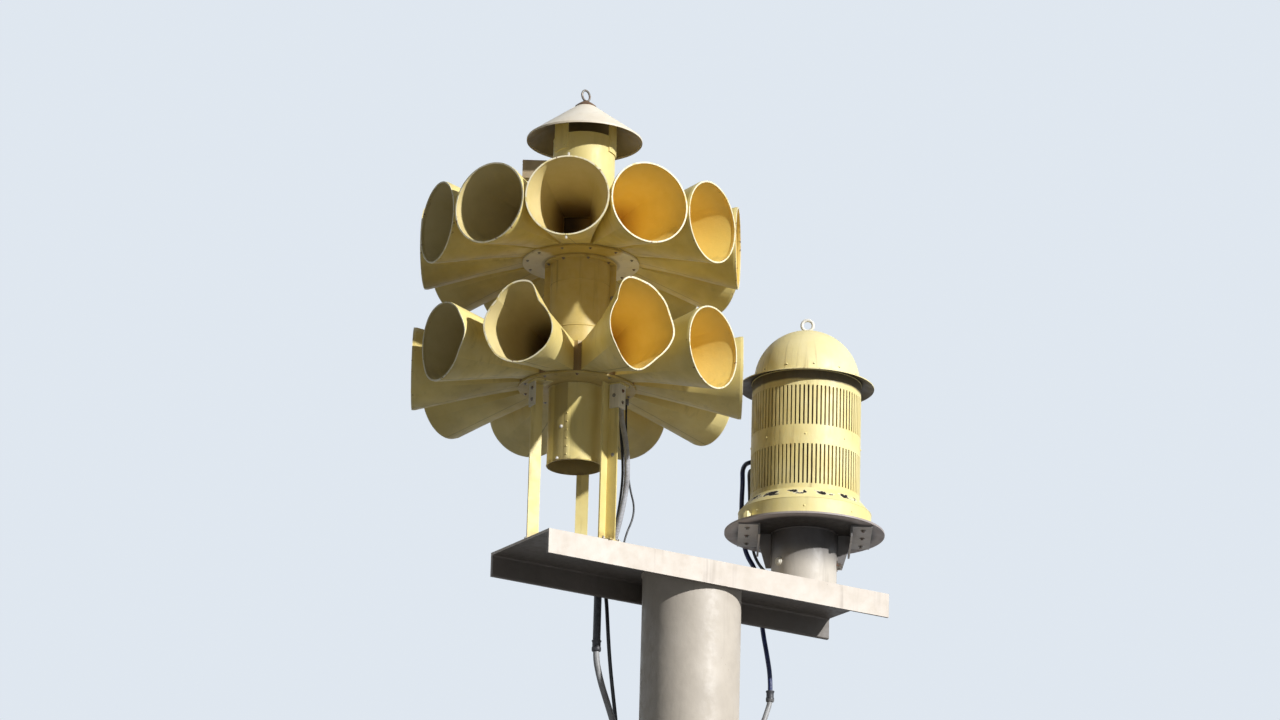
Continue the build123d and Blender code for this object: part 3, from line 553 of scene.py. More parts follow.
def platform_paint():
    """Pale grey paint, with painted shade below the web and between the flanges."""
    coat = grey_coat("platform_paint", srgb(206, 194, 180), srgb(220, 210, 198))
    # Painted shade below the web and between the flanges.
    below = coat.ramp(coat.normal[2], -0.3, -0.8)
    flange_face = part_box("platform_channel")[1].y
    hollow_shade = coat.times(
        coat.ramp(coat.z, WEB_UNDER + 0.002, WEB_UNDER - 0.002),
        coat.ramp(coat.math("ABSOLUTE", coat.y), flange_face - 0.004, flange_face - 0.008),
    )
    shade_grey = coat.mix(coat.patches(4, 4, 0.3, 0.7), srgb(62, 56, 52), srgb(88, 80, 74))
    coat.lay(shade_grey, coat.math("MAXIMUM", below, hollow_shade), 0.85)
    return coat.done()


def disc_paint():
    """Purple-grey paint, with painted shade below the middle."""
    coat = grey_coat("disc_paint", srgb(160, 150, 148), srgb(178, 168, 164), grime=0.1)
    coat.centre_on(SMALL)
    # Painted shade under the middle of the disc.
    coat.lay(UNDERSIDE_SHADE, coat.ramp(coat.normal[2], -0.3, -0.8), coat.ramp(coat.reach, 0.31, 0.27), 0.94)
    return coat.done()


def bracket_paint():
    """Light grey paint, with painted shade on the sheer faces."""
    coat = grey_coat("bracket_paint", srgb(184, 178, 174), srgb(200, 194, 188), rust=0.5, grime=0.1)
    # Painted shade on the sheer faces.
    coat.lay(srgb(92, 90, 90), coat.ramp(coat.math("ABSOLUTE", coat.normal[2]), 0.7, 0.4), 0.8)
    return coat.done()


def stub_paint():
    """Light grey paint, with a painted shadow below the disc."""
    coat = grey_coat("stub_paint", srgb(204, 196, 184), srgb(218, 210, 198))
    # Painted shadow of the disc on the top of the stub.
    coat.lay(srgb(60, 58, 62), coat.ramp(coat.z, DISC_UNDER - 0.19, DISC_UNDER - 0.06), 0.9)
    return coat.done()


def gland_paint():
    """Glands: cream at the small siren, a dark sleeve beside the deck as painted shade, matt grey elsewhere.
    """
    coat = Coat("gland_paint")
    scuffs = coat.patches(40, 5, 0.35, 0.7)
    dark = coat.mix(scuffs, srgb(54, 54, 58), srgb(80, 80, 84))
    cream = coat.mix(scuffs, srgb(214, 198, 140), srgb(232, 218, 166))
    coat.colour = coat.mix(scuffs, srgb(116, 114, 112), srgb(146, 144, 140))
    # Painted shade: the sleeve beside the deck is dark.
    below_deck = coat.ramp(coat.z, DECK + 0.005, DECK - 0.005)
    coat.lay(dark, below_deck, coat.ramp(coat.z, WEB_UNDER - 0.40, WEB_UNDER - 0.38))
    coat.lay(cream, coat.ramp(coat.x, 0.2, 0.25), coat.ramp(coat.z, DISC_TOP + 0.1, DISC_TOP + 0.11))
    coat.bump(coat.noise(200, 3), 0.0003)
    coat.roughness = coat.ramp(scuffs, 0, 1, 0.42, 0.6)
    return coat.done()


def core_dark():
    """Brown dusty dark of the core behind the slots."""
    coat = Coat("core_dark")
    dusty = coat.patches(18, 5, 0.35, 0.75, stretch=(1, 1, 0.2))
    coat.colour = coat.mix(dusty, srgb(96, 70, 52), srgb(158, 124, 98))
    coat.bump(coat.noise(40, 4), 0.001)
    coat.roughness = coat.ramp(dusty, 0, 1, 0.6, 0.85)
    return coat.done()


def galvanised(name):
    """Dull zinc with its crystal patches, and rust in places."""
    coat = Coat(name)
    coat.colour = coat.mix(coat.ramp(coat.cells(160), 0.1, 0.8), srgb(122, 118, 110), srgb(150, 146, 138))
    rusty = coat.patches(60, 5, 0.5, 0.66, offset=(3, 3, 1))
    coat.lay(RUST, rusty, 0.8)
    coat.bump(coat.noise(300, 3), 0.0003)
    coat.roughness = coat.ramp(rusty, 0, 1, 0.42, 0.8)
    return coat.done(coat.ramp(rusty, 0, 1, 0.8, 0.0))


def rusty_steel():
    """Brown rust with a little bare steel."""
    coat = Coat("rusty_steel")
    coat.colour = coat.mix(coat.patches(90, 5, 0.35, 0.65), srgb(84, 60, 42), srgb(120, 92, 66))
    bare = coat.patches(150, 4, 0.6, 0.72, offset=(4, 1, 3))
    coat.lay(srgb(150, 142, 130), bare, 0.5)
    coat.bump(coat.noise(420, 3), 0.0003)
    coat.roughness = coat.ramp(bare, 0, 1, 0.82, 0.5)
    return coat.done(coat.ramp(bare, 0, 1, 0.1, 0.7))


def conduit_grey(name, dark, light, ribs=0.0):
    """Grey jacket with faint scuffs, and rings a given step apart where it is the flexible kind."""
    coat = Coat(name)
    scuffs = coat.patches(30, 5, 0.35, 0.7)
    coat.colour = coat.mix(scuffs, dark, light)
    coat.lay(DIRT_AND_SHADE, coat.patches(9, 4, 0.45, 0.7, offset=(3, 1, 4)), 0.4)
    if ribs:
        coat.bump(coat.math("SINE", coat.times(coat.z, 2 * pi / ribs)), 0.0008)
    coat.bump(coat.noise(180, 3), 0.0003)
    coat.roughness = coat.ramp(scuffs, 0, 1, 0.4, 0.62)
    return coat.done()


def cable_jacket(name, dark, light):
    coat = Coat(name)
    scuffs = coat.patches(45, 5, 0.45, 0.75)
    coat.colour = coat.mix(scuffs, dark, light)
    coat.bump(coat.noise(220, 3), 0.0003)
    coat.roughness = coat.ramp(scuffs, 0, 1, 0.34, 0.6)
    return coat.done()


PAINTS = {
    "upper_horn": horn_paint("upper"),
    "lower_horn": horn_paint("lower"),
    "hub": hub_coat("hub_paint").done(),
    "hub_ring": hub_ring_paint(),
    "floor_plate": floor_plate_paint(),
    "leg": leg_paint(),
    "clip": weathered(
        "clip_paint", srgb(222, 216, 198), srgb(236, 232, 218), streaks=0.4, grime=0.2, rust=0.6
    ).done(),
    "can": can_paint(),
    "neck": weathered(
        "neck_paint", srgb(230, 212, 138), srgb(240, 226, 162), streaks=0.12, grime=0.3, mottle=0.05
    ).done(),
    "hat": hat_paint(),
    "box": weathered(
        "box_enamel", srgb(150, 130, 100), srgb(168, 150, 120), streaks=0.3, grime=0.4, rust=0.6
    ).done(),
    "dome": dome_paint(),
    "siren": siren_paint(),
    "skirt": skirt_paint(),
    "core": core_dark(),
    "ring": weathered(
        "white_ring_paint", srgb(232, 230, 224), srgb(244, 242, 238),
        streaks=0.2, grime=0.2, rust=0.4, dust=0.2,
    ).done(),
    "pole": pole_paint(),
    "platform": platform_paint(),
    "disc": disc_paint(),
    "bracket": bracket_paint(),
    "stub": stub_paint(),
    "gland": gland_paint(),
    "steel": galvanised("galvanised"),
    "nut": galvanised("painted_nuts"),
    "bolt": rusty_steel(),
    "flex_dark": conduit_grey("thin_conduit", srgb(78, 80, 84), srgb(102, 104, 108), ribs=0.004),
    "flex_light": conduit_grey("flex_conduit", srgb(176, 178, 184), srgb(198, 200, 206), ribs=0.006),
    "conduit_light": conduit_grey("rigid_conduit", srgb(150, 150, 150), srgb(176, 176, 176)),
    "black": cable_jacket("cable_black", srgb(22, 22, 24), srgb(46, 46, 48)),
    "blue": cable_jacket("cable_blue", srgb(28, 38, 84), srgb(46, 60, 112)),
}

# Nodes by their paint, where it doesn't have the node's own name
PAINTED_NODES = {
    "pole": ("base_plate", "base_ribs", "pole"),
    "platform": ("platform_channel",),
    "leg": ("siren_leg_1", "siren_leg_2", "siren_leg_3"),
    "clip": ("leg_clips",),
    "can": ("intake_can",),
    "hub": ("housing_braces", "motor_housing", "lower_hub_floor", "lower_hub_roof", "upper_hub_roof"),
    "hub_ring": ("lower_hub", "upper_hub"),
    "floor_plate": ("upper_hub_floor",),
    "neck": ("intake_neck", "hat_straps"),
    "hat": ("rain_hat",),
    "steel": ("hat_eye",),
    "box": ("neck_box",),
    "stub": ("stub_pipe",),
    "bracket": ("disc_brackets",),
    "disc": ("base_disc",),
    "skirt": ("body_skirt",),
    "siren": ("slotted_body", "body_lid"),
    "core": ("body_core",),
    "dome": ("dome",),
    "ring": ("dome_eye",),
    "gland": ("lead_glands",),
    "conduit_light": ("drop_conduits",),
    "black": ("motor_lead", "motor_wire"),
    "flex_light": ("motor_conduit",),
    "flex_dark": ("siren_conduit",),
    "blue": ("siren_lead",),
}
NODE_PAINT = {name: paint for paint, names in PAINTED_NODES.items() for name in names}


def dress_nodes():
    """Give every node of the frame its paint."""
    for name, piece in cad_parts.items():
        paint = name.rsplit("_", 1)[0] if "_horn_" in name else NODE_PAINT[name]
        for place in piece.material_slots:
            place.material = PAINTS[paint]


def outward(turn):
    return Vector((cos(turn), sin(turn), 0))


def beside(turn):
    return Vector((-sin(turn), cos(turn), 0))


def turns(count, first=0.0):
    """Angles of places that are spread evenly round a circle."""
    return [first + 2 * pi / count * number for number in range(count)]


def spread(low, high, count):
    """Values at even steps from the low one to the high one."""
    return [low + (high - low) * number / (count - 1) for number in range(count)]


def rectangle(left, low, right, high):
    return [(left, low), (right, low), (right, high), (left, high)]


def edge_path(corners, step):
    """Points a step apart along the sides between corners, once round."""
    path = []
    for start, end in zip(corners, corners[1:] + corners[:1]):
        count = max(1, int((end - start).length / step))
        path.extend(start.lerp(end, place / count) for place in range(count))
    return path


def in_scene(name, data):
    """New object of the scene."""
    made = bpy.data.objects.new(name, data)
    bpy.context.scene.collection.objects.link(made)
    return made


class Forge:
    """Collects small solid shapes in one mesh, which becomes one piece that rides on the tower."""

    def __init__(self):
        self.form = bmesh.new()

    def skin(self, low, high):
        """Faces between two loops of points, either of which may be a single point."""
        count = max(len(low), len(high))
        for one in range(count):
            two = (one + 1) % count
            if len(low) == 1:
                self.form.faces.new((low[0], high[two], high[one]))
            elif len(high) == 1:
                self.form.faces.new((low[one], low[two], high[0]))
            else:
                self.form.faces.new((low[one], low[two], high[two], high[one]))

    def loft(self, loops, closed=False):
        """Solid through loops of points, capped at both ends unless it closes on itself."""
        rings = [[self.form.verts.new(point) for point in loop] for loop in loops]
        for low, high in zip(rings, rings[1:]):
            self.skin(low, high)
        if closed:
            self.skin(rings[-1], rings[0])
            return
        if len(rings[0]) > 1:
            self.form.faces.new(list(reversed(rings[0])))
        if len(rings[-1]) > 1:
            self.form.faces.new(rings[-1])

    def lathe(self, profile, at, way, sides, closed=False):
        """Profile of (radius, height) pairs turned round a line through a point."""
        turned = way.to_track_quat("Z", "Y").to_matrix()
        loops = []
        for radius, height in profile:
            corners = turns(sides) if radius else (0.0,)
            loops.append([at + turned @ Vector((radius * cos(a), radius * sin(a), height)) for a in corners])
        self.loft(loops, closed)

    def bead(self, path, radius, axis, closed=False, ripple=0.0, sides=6):
        """Round bead along a path, swelling and shrinking like a weld where it has a ripple."""
        loops = []
        last = len(path) - 1
        for place, point in enumerate(path):
            before = path[place - 1] if closed or place else point
            after = path[(place + 1) % len(path)] if closed or place < last else point
            ahead = (after - before).normalized()
            side = ahead.cross(axis).normalized()
            above = side.cross(ahead)
            reach = radius * (1 - ripple * (place % 2) - ripple * 0.5 * random.random())
            loops.append([point + (side * cos(a) + above * sin(a)) * reach for a in turns(sides)])
        self.loft(loops, closed)

    def ring(self, centre, reach, z, radius, step=0.012, ripple=0.0):
        """Round bead round an upright axis."""
        count = int(2 * pi * reach / step)
        path = [centre + outward(turn) * reach + UP * z for turn in turns(count)]
        self.bead(path, radius, UP, closed=True, ripple=ripple)

    def hoop(self, centre, reach, z, profile, sides=96):
        """Band round an upright axis, its profile measured outwards and upwards."""
        outline = [(reach + out, rise) for out, rise in profile]
        self.lathe(outline, centre + UP * z, UP, sides, closed=True)

    def plate(self, outline, at, right, above, thick, ease=0.001):
        """Flat plate of any outline that stands up from a face, its top edge eased."""
        normal = right.cross(above).normalized()
        middle = Vector((
            sum(x for x, y in outline) / len(outline), sum(y for x, y in outline) / len(outline)
        ))
        loops = []
        for inset, height in ((0, 0), (0, thick - ease), (ease, thick)):
            loop = []
            for x, y in outline:
                away = Vector((x, y)) - middle
                spot = middle + away * (1 - inset / away.length)
                loop.append(at + right * spot.x + above * spot.y + normal * height)
            loops.append(loop)
        self.loft(loops)

    def lap(self, centre, reach, turn, width, low, high, thick):
        """Strip of sheet that lies up a round wall, curved as the wall is."""
        steps = 5
        loops = []
        for step in range(steps + 1):
            angle = turn + (step / steps - 0.5) * width / reach
            way = outward(angle)
            lift = thick if 0 < step < steps else thick * 0.4
            inner = centre + way * (reach - 0.0002)
            outer = centre + way * (reach + lift)
            loops.append([inner + UP * low, inner + UP * high, outer + UP * high, outer + UP * low])
        self.loft(loops)

    def rivet(self, at, way, radius):
        """Round rivet head."""
        shares = ((1, None), (0.92, 0.3), (0.6, 0.6), (0, 0.7))
        profile = [(radius * r, -0.0005 if h is None else radius * h) for r, h in shares]
        self.lathe(profile, at, way, 10)

    def rivets_up(self, centre, reach, turn, heights, radius):
        """Rivets one above the other on a round wall."""
        for z in heights:
            self.rivet(centre + outward(turn) * reach + UP * z, outward(turn), radius)

    def bolt(self, at, way, across, stud=0.0):
        """Washer and hexagon head, or a nut on its stud where the stud stands out."""
        corner = across * 0.577
        washer = across * 0.14
        head = washer + across * 0.62
        rim = ((across * 0.98, -0.0004), (across, washer * 0.8), (across * 0.94, washer), (0, washer))
        self.lathe(rim, at, way, 20)
        flats = ((corner, washer), (corner, head - across * 0.08), (corner * 0.84, head), (0, head))
        self.lathe(flats, at, way, 6)
        if stud:
            thread = across * 0.31
            end = head + stud * 1.1
            self.lathe(((thread, head), (thread, head + stud), (thread * 0.8, end), (0, end)), at, way, 12)

    def piece(self, name, paint, slot):
        """Make the piece, smooth where its faces meet gently."""
        bmesh.ops.recalc_face_normals(self.form, faces=self.form.faces)
        mesh = bpy.data.meshes.new(name)
        self.form.to_mesh(mesh)
        self.form.free()
        mesh.shade_smooth()
        mesh.set_sharp_from_angle(angle=radians(38))
        mesh.materials.append(PAINTS[paint])
        made = in_scene(name, mesh)
        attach(made, "root")


def hub_bolts(forge):
    """Bolts that hold the round plates to the hubs, one between each two horns."""
    for ring in RINGS:
        count, first = RINGS[ring][:2]
        for turn in turns(count, first + pi / count):
            spot = BIG + outward(turn) * HUB_BOLTS_AT
            forge.bolt(spot + UP * node_foot(f"{ring}_hub_floor"), DOWN, HUB_BOLT)
            forge.bolt(spot + UP * node_top(f"{ring}_hub_roof"), UP, HUB_BOLT)


def throat_welds(forge):
    """Weld round the throat of each horn, in the corner that it makes with the hub."""
    wide, tall = THROAT
    for count, first, z in RINGS.values():
        for turn in turns(count, first):
            centre = BIG + outward(turn) * (HUB_APOTHEM + 0.001) + UP * z
            edges = rectangle(-wide / 2, -tall / 2, wide / 2, tall / 2)
            corners = [centre + beside(turn) * x + UP * y for x, y in edges]
            forge.bead(edge_path(corners, 0.005), 0.0032, outward(turn), closed=True, ripple=0.2, sides=5)


def mouth_tabs(forge):
    """Folded tabs that stand out at the top and foot of some of the upper mouths."""
    wide, tall = TAB_SIZE
    outline = [
        (-wide / 2, 0), (wide / 2, 0), (wide / 2, tall * 0.8),
        (wide * 0.3, tall), (-wide * 0.3, tall), (-wide / 2, tall * 0.8),
    ]
    count, first, z = RINGS["upper"]
    for turn in turns(count, first)[::TAB_EVERY]:
        out = outward(turn)
        centre = BIG + out * (MOUTH_AT["upper"] - 0.008) + UP * z
        for way, side in ((UP, beside(turn)), (DOWN, -beside(turn))):
            forge.plate(outline, centre + way * (MOUTH_R - 0.002), side, way, 0.004)
            forge.rivet(centre + way * (MOUTH_R + tall * 0.45) + out * 0.004, out, 0.002)


def housing_rings(forge):
    """Flanges at the top and foot of the motor housing, its lap seam and its two hoops."""
    foot, top = foot_and_top("motor_housing")
    out = HOUSING_FLANGE
    edge = out + 0.002
    rim = [(-0.001, 0), (out, 0), (edge, -0.002), (edge, -0.008), (out, -0.010), (-0.001, -0.010)]
    forge.hoop(BIG, HOUSING_R, top, rim)
    forge.hoop(BIG, HOUSING_R, foot + 0.010, rim)
    forge.lap(BIG, HOUSING_R, HOUSING_SEAM, 0.030, foot + 0.012, top - 0.012, 0.0016)
    for share in (0.25, 0.75):
        forge.ring(BIG, HOUSING_R, foot + (top - foot) * share, 0.0022)


def housing_bolts(forge):
    """Bolts of the motor housing's flanges and of its two braces."""
    foot, top = foot_and_top("motor_housing")
    for turn in turns(HOUSING_BOLTS, HOUSING_BOLTS_FIRST):
        spot = BIG + outward(turn) * (HOUSING_R + HOUSING_FLANGE * 0.5)
        forge.bolt(spot + UP * (top - 0.010), DOWN, SMALL_BOLT)
        forge.bolt(spot + UP * (foot + 0.010), UP, SMALL_BOLT)
    brace = outward(BRACE_DIR)
    for side in (1, -1):
        way = beside(BRACE_DIR) * -side
        spot = BIG + brace * side * (HOUSING_R + 0.014) + way * 0.004 + UP * BRACE_BOLT_Z
        forge.bolt(spot, way, BRACE_BOLT)


def leg_places():
    """Corner of each leg's angle iron in plan, and the ways out from it and beside it."""
    angles = turns(LEG_COUNT, LEG_FIRST)
    return [(BIG + outward(turn) * LEG_AT, outward(turn), beside(turn)) for turn in angles]


def leg_plates(forge):
    """Foot plates, foot welds and top plates of the legs."""
    toes = (
        (0, 0), (LEG_SIZE, 0), (LEG_SIZE, -LEG_THICK),
        (LEG_THICK, -LEG_THICK), (LEG_THICK, -LEG_SIZE), (0, -LEG_SIZE),
    )
    for corner, out, side in leg_places():
        foot = rectangle(-0.022, -0.074, 0.074, 0.022)
        forge.plate(foot, corner + UP * DECK, out, side, 0.008, 0.0015)
        path = edge_path([corner + out * x + side * y + UP * (DECK + 0.009) for x, y in toes], 0.004)
        forge.bead(path, 0.0034, UP, closed=True, ripple=0.2)
        cap = rectangle(-0.014, 0.014, 0.064, -0.062)
        forge.plate(cap, corner + UP * node_top("siren_leg_1"), out, -side, 0.005)


def leg_bolts(forge):
    """Nuts on the foot plates and bolts through the legs and their clips."""
    top = node_top("siren_leg_1")
    for corner, out, side in leg_places():
        for x, y in ((0.062, 0.010), (0.034, -0.062)):
            forge.bolt(corner + out * x + side * y + UP * (DECK + 0.008), UP, FOOT_BOLT, stud=0.004)
        for drop in (0.030, 0.078):
            spot = corner + out * (LEG_SIZE + LEG_THICK) + side * 0.016
            forge.bolt(spot + UP * (top - drop), out, SMALL_BOLT)
        forge.bolt(corner + out * 0.034 - side * (2 * LEG_THICK) + UP * (top - 0.052), -side, SMALL_BOLT)
        forge.bolt(corner + out * 0.030 - side * LEG_THICK + UP * LEG_BOLT_Z, -side, SMALL_BOLT)


def can_seam(forge):
    """Riveted lap up the intake can, the rolled bead round its mouth and the weld at its top."""
    foot, top = foot_and_top("intake_can")
    forge.lap(BIG, CAN_R, CAN_SEAM, 0.024, foot + 0.004, top - 0.004, 0.0016)
    forge.ring(BIG, CAN_R - 0.001, foot + 0.0032, 0.0032, 0.010)
    forge.ring(BIG, CAN_R + 0.001, top - 0.003, 0.0032, 0.005, ripple=0.2)
    forge.rivets_up(BIG, CAN_R + 0.0014, CAN_SEAM, spread(foot + 0.022, top - 0.028, 9), 0.004)


def can_screws(forge):
    """Two bright screws in the can's left side."""
    for turn, height in ((radians(-152), 0.504), (radians(-160), 0.372)):
        forge.bolt(BIG + outward(turn) * CAN_R + UP * (WEB_UNDER + height), outward(turn), SMALL_BOLT)


def neck_seam(forge):
    """Riveted lap up the neck, the rolled bead at its top and the weld at its foot."""
    foot, top = foot_and_top("intake_neck")
    forge.lap(BIG, NECK_R, NECK_SEAM, 0.024, foot + 0.004, top - 0.004, 0.0014)
    forge.rivets_up(BIG, NECK_R + 0.0012, NECK_SEAM, spread(foot + 0.030, top - 0.030, 9), 0.004)
    forge.ring(BIG, NECK_R - 0.0015, top, 0.0028, 0.010)
    forge.ring(BIG, NECK_R + 0.001, foot + 0.001, 0.0036, 0.005, ripple=0.2)


def strap_rivets(forge):
    """Four rivets through the foot of each strap that carries the hat."""
    top = node_top("intake_neck")
    for turn in turns(STRAP_COUNT, STRAP_FIRST):
        for across in (-0.026, 0.026):
            heights = (top - 0.018, top - 0.048)
            forge.rivets_up(BIG, NECK_R + 0.0045, turn + across / NECK_R, heights, 0.0045)


def hat_seams(forge):
    """Riveted laps down the hat's cone and the rolled edge of its brim."""
    tip = node_top("rain_hat")
    slope = HAT_RISE / HAT_REACH
    length = (HAT_REACH - 0.045) / cos(HAT_SLOPE)
    for turn in HAT_SEAMS:
        way = outward(turn)
        start = BIG + way * (HAT_TIP_R + 0.036) + UP * (tip - 0.036 * slope + 0.0004)
        down = (way - UP * slope).normalized()
        across = beside(turn)
        forge.plate(rectangle(-0.010, 0, 0.010, length), start, across, down, 0.0014, 0.0006)
        lift = across.cross(down).normalized()
        for along in spread(0.012, length - 0.012, 8):
            forge.rivet(start + down * along + lift * 0.0012, lift, 0.0034)
    forge.ring(BIG, HAT_BRIM_R, node_foot("rain_hat") + 0.0024, 0.0024, 0.0124)


def hat_cone(forge):
    """Conical washer and nut on the hat's tip, under its eye."""
    at = BIG + UP * node_top("rain_hat")
    washer = (
        (0.043, -0.0232), (0.044, -0.017), (0.030, -0.006),
        (0.017, 0.0028), (0.0085, 0.0034), (0.0085, -0.004),
    )
    forge.lathe(washer, at, UP, 32)
    forge.lathe(((0.0125, 0.003), (0.0125, 0.0072), (0.0108, 0.0084), (0.0062, 0.0084)), at, UP, 6)


def box_lid(forge):
    """Lid of the box beside the neck, with its screws."""
    way, side = outward(BOX_TURN), beside(BOX_TURN)
    face = BIG + way * BOX_FACE + UP * node_centre("neck_box").z
    outline = rectangle(-0.0225, -0.0385, 0.0225, 0.0385)
    forge.plate(outline, face - way * 0.004, side, UP, 0.0035)
    for x, y in rectangle(-0.017, -0.032, 0.017, 0.032):
        forge.rivet(face + side * x + UP * y - way * 0.0006, way, 0.0028)


def small_siren_seams(forge):
    """Hoops, seams and rivets of the small siren."""
    foot, top = foot_and_top("slotted_body")
    skirt_top = node_top("body_skirt")
    forge.lap(SMALL, BODY_R, SMALL_SEAM, 0.006, skirt_top, top - 0.006, 0.0012)
    forge.ring(SMALL, BODY_R + 0.0005, top - 0.003, 0.0020)
    forge.ring(SMALL, BODY_R + 0.003, skirt_top, 0.0026)
    forge.ring(SMALL, SKIRT_R + 0.0004, foot + 0.003, 0.0030)
    forge.ring(SMALL, SKIRT_R - 0.0004, foot + 0.077, 0.0016)
    forge.lap(SMALL, SKIRT_R, SMALL_SEAM, 0.024, foot + 0.006, foot + 0.074, 0.0014)
    forge.rivets_up(SMALL, SKIRT_R + 0.0012, SMALL_SEAM, spread(foot + 0.018, foot + 0.062, 3), 0.0036)
    for turn in turns(BODY_SCREWS, BODY_SCREWS_FIRST):
        forge.rivets_up(SMALL, BODY_R, turn, (BODY_SCREWS_Z,), 0.0044)
        forge.rivets_up(SMALL, SKIRT_R, turn, (foot + 0.040,), 0.0044)


def dome_fittings(forge):
    """Washer and nut under the dome's eye, and the screws round its foot."""
    at = SMALL + UP * node_top("dome")
    washer = ((0.026, -0.0044), (0.0265, -0.0010), (0.024, 0.0008), (0.0085, 0.0012), (0.0085, -0.004))
    forge.lathe(washer, at, UP, 32)
    forge.lathe(((0.0135, 0.001), (0.0135, 0.0066), (0.0118, 0.0078), (0.0064, 0.0078)), at, UP, 6)
    for turn in turns(DOME_SCREWS, DOME_SCREWS_FIRST):
        forge.rivets_up(SMALL, DOME_R - 0.0002, turn, (node_top("body_lid") + 0.022,), 0.0042)


def disc_nuts(forge):
    """Nuts of the brackets on both sides of the disc, and the large bolt in the stub pipe."""
    for turn in (RAIL_DIR, RAIL_DIR + pi):
        for along in (-0.120, 0.0, 0.120):
            under = SMALL + outward(turn) * 0.240 + beside(turn) * along
            over = SMALL + outward(turn) * 0.300 + beside(turn) * along * 0.8
            forge.bolt(under + UP * (DISC_UNDER - 0.008), DOWN, FOOT_BOLT)
            forge.bolt(over + UP * DISC_TOP, UP, FOOT_BOLT)
    way = outward(STUB_BOLT_TURN)
    forge.bolt(SMALL + way * STUB_R + UP * STUB_BOLT_Z, way, STUB_BOLT, stud=0.006)


def disc_lug(forge):
    """Large lug that stands on the disc beside the skirt."""
    at = SMALL + outward(LUG_TURN) * LUG_AT + UP * DISC_TOP
    forge.lathe(((0.019, 0), (0.019, 0.005), (0.0175, 0.0062), (0, 0.0062)), at, UP, 24)
    head = (
        (0.0165, 0.006), (0.0165, 0.026), (0.0142, 0.030), (0.010, 0.030),
        (0.010, 0.037), (0.008, 0.039), (0, 0.039),
    )
    forge.lathe(head, at, UP, 6)


def stub_plug(forge):
    """Round plug in the left side of the stub pipe."""
    way = outward(STUB_PLUG_TURN)
    at = SMALL + way * (STUB_R - 0.001) + UP * STUB_PLUG_Z
    profile = (
        (0.0185, 0), (0.0185, 0.004), (0.0165, 0.006), (0.0150, 0.006),
        (0.0150, 0.010), (0.012, 0.0128), (0, 0.0134),
    )
    forge.lathe(profile, at, way, 28)


def stub_welds(forge):
    """Welds at both ends of the stub pipe and up the fins of its brackets."""
    forge.ring(SMALL, STUB_R + 0.001, DECK + 0.002, 0.0050, 0.004, ripple=0.18)
    forge.ring(SMALL, STUB_R + 0.001, DISC_UNDER - 0.002, 0.0045, 0.004, ripple=0.18)
    for turn in (RAIL_DIR, RAIL_DIR + pi):
        way = outward(turn)
        for edge in (-0.0042, 0.0042):
            start = SMALL + way * (STUB_R + 0.001) + beside(turn) * edge
            path = [start + UP * (DISC_UNDER - 0.006 - 0.004 * step) for step in range(34)]
            forge.bead(path, 0.0030, way, ripple=0.2)


def pole_welds(forge):
    """Welds at both ends of the pole and along both edges of its ribs."""
    centre = Vector((0, 0, 0))
    base = node_top("base_plate")
    forge.ring(centre, POLE_R + 0.001, WEB_UNDER - 0.003, 0.0062, 0.005, ripple=0.18)
    forge.ring(centre, POLE_R + 0.001, base + 0.003, 0.0070, 0.005, ripple=0.18)
    for turn in turns(RIB_COUNT):
        way = outward(turn)
        for edge in (-RIB_THICK / 2 - 0.001, RIB_THICK / 2 + 0.001):
            start = way * POLE_R + beside(turn) * edge + UP * base
            up_pole = [start + way * 0.001 + UP * (0.005 * step) for step in range(1, 51)]
            along_base = [start + way * (0.005 * step) + UP * 0.001 for step in range(1, 22)]
            forge.bead(up_pole, 0.0045, way, ripple=0.2)
            forge.bead(along_base, 0.0045, UP, ripple=0.2)


def anchor_nuts(forge):
    """Nuts and bolt ends that hold the base plate down."""
    for turn in turns(ANCHOR_COUNT, ANCHOR_FIRST):
        forge.bolt(outward(turn) * ANCHOR_AT + UP * node_top("base_plate"), UP, ANCHOR_NUT, stud=0.040)


def over_web(points):
    """Points whose heights are measured from the underside of the platform's web."""
    return [Vector((x, y, WEB_UNDER + height)) for x, y, height in points]


def round_siren(points):
    """Points given by their angle and reach round the small siren and their height over the web."""
    return [
        SMALL + outward(radians(turn)) * reach + UP * (WEB_UNDER + height)
        for turn, reach, height in points
    ]


def add_lead(name, points, wire, paint):
    """Smooth lead or flexible conduit in place of its CAD solid."""
    curve = bpy.data.curves.new(f"{name}_jacket", "CURVE")
    curve.dimensions = "3D"
    curve.resolution_u = 10
    curve.bevel_depth = wire
    curve.bevel_resolution = 6
    curve.use_fill_caps = True
    spline = curve.splines.new("NURBS")
    spline.points.add(len(points) - 1)
    for place, point in zip(spline.points, points):
        place.co = (*point, 1.0)
    spline.order_u = 3
    spline.use_endpoint_u = True
    curve.materials.append(PAINTS[paint])
    piece = in_scene(f"{name}_jacket", curve)
    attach(piece, "root")
    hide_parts(name)


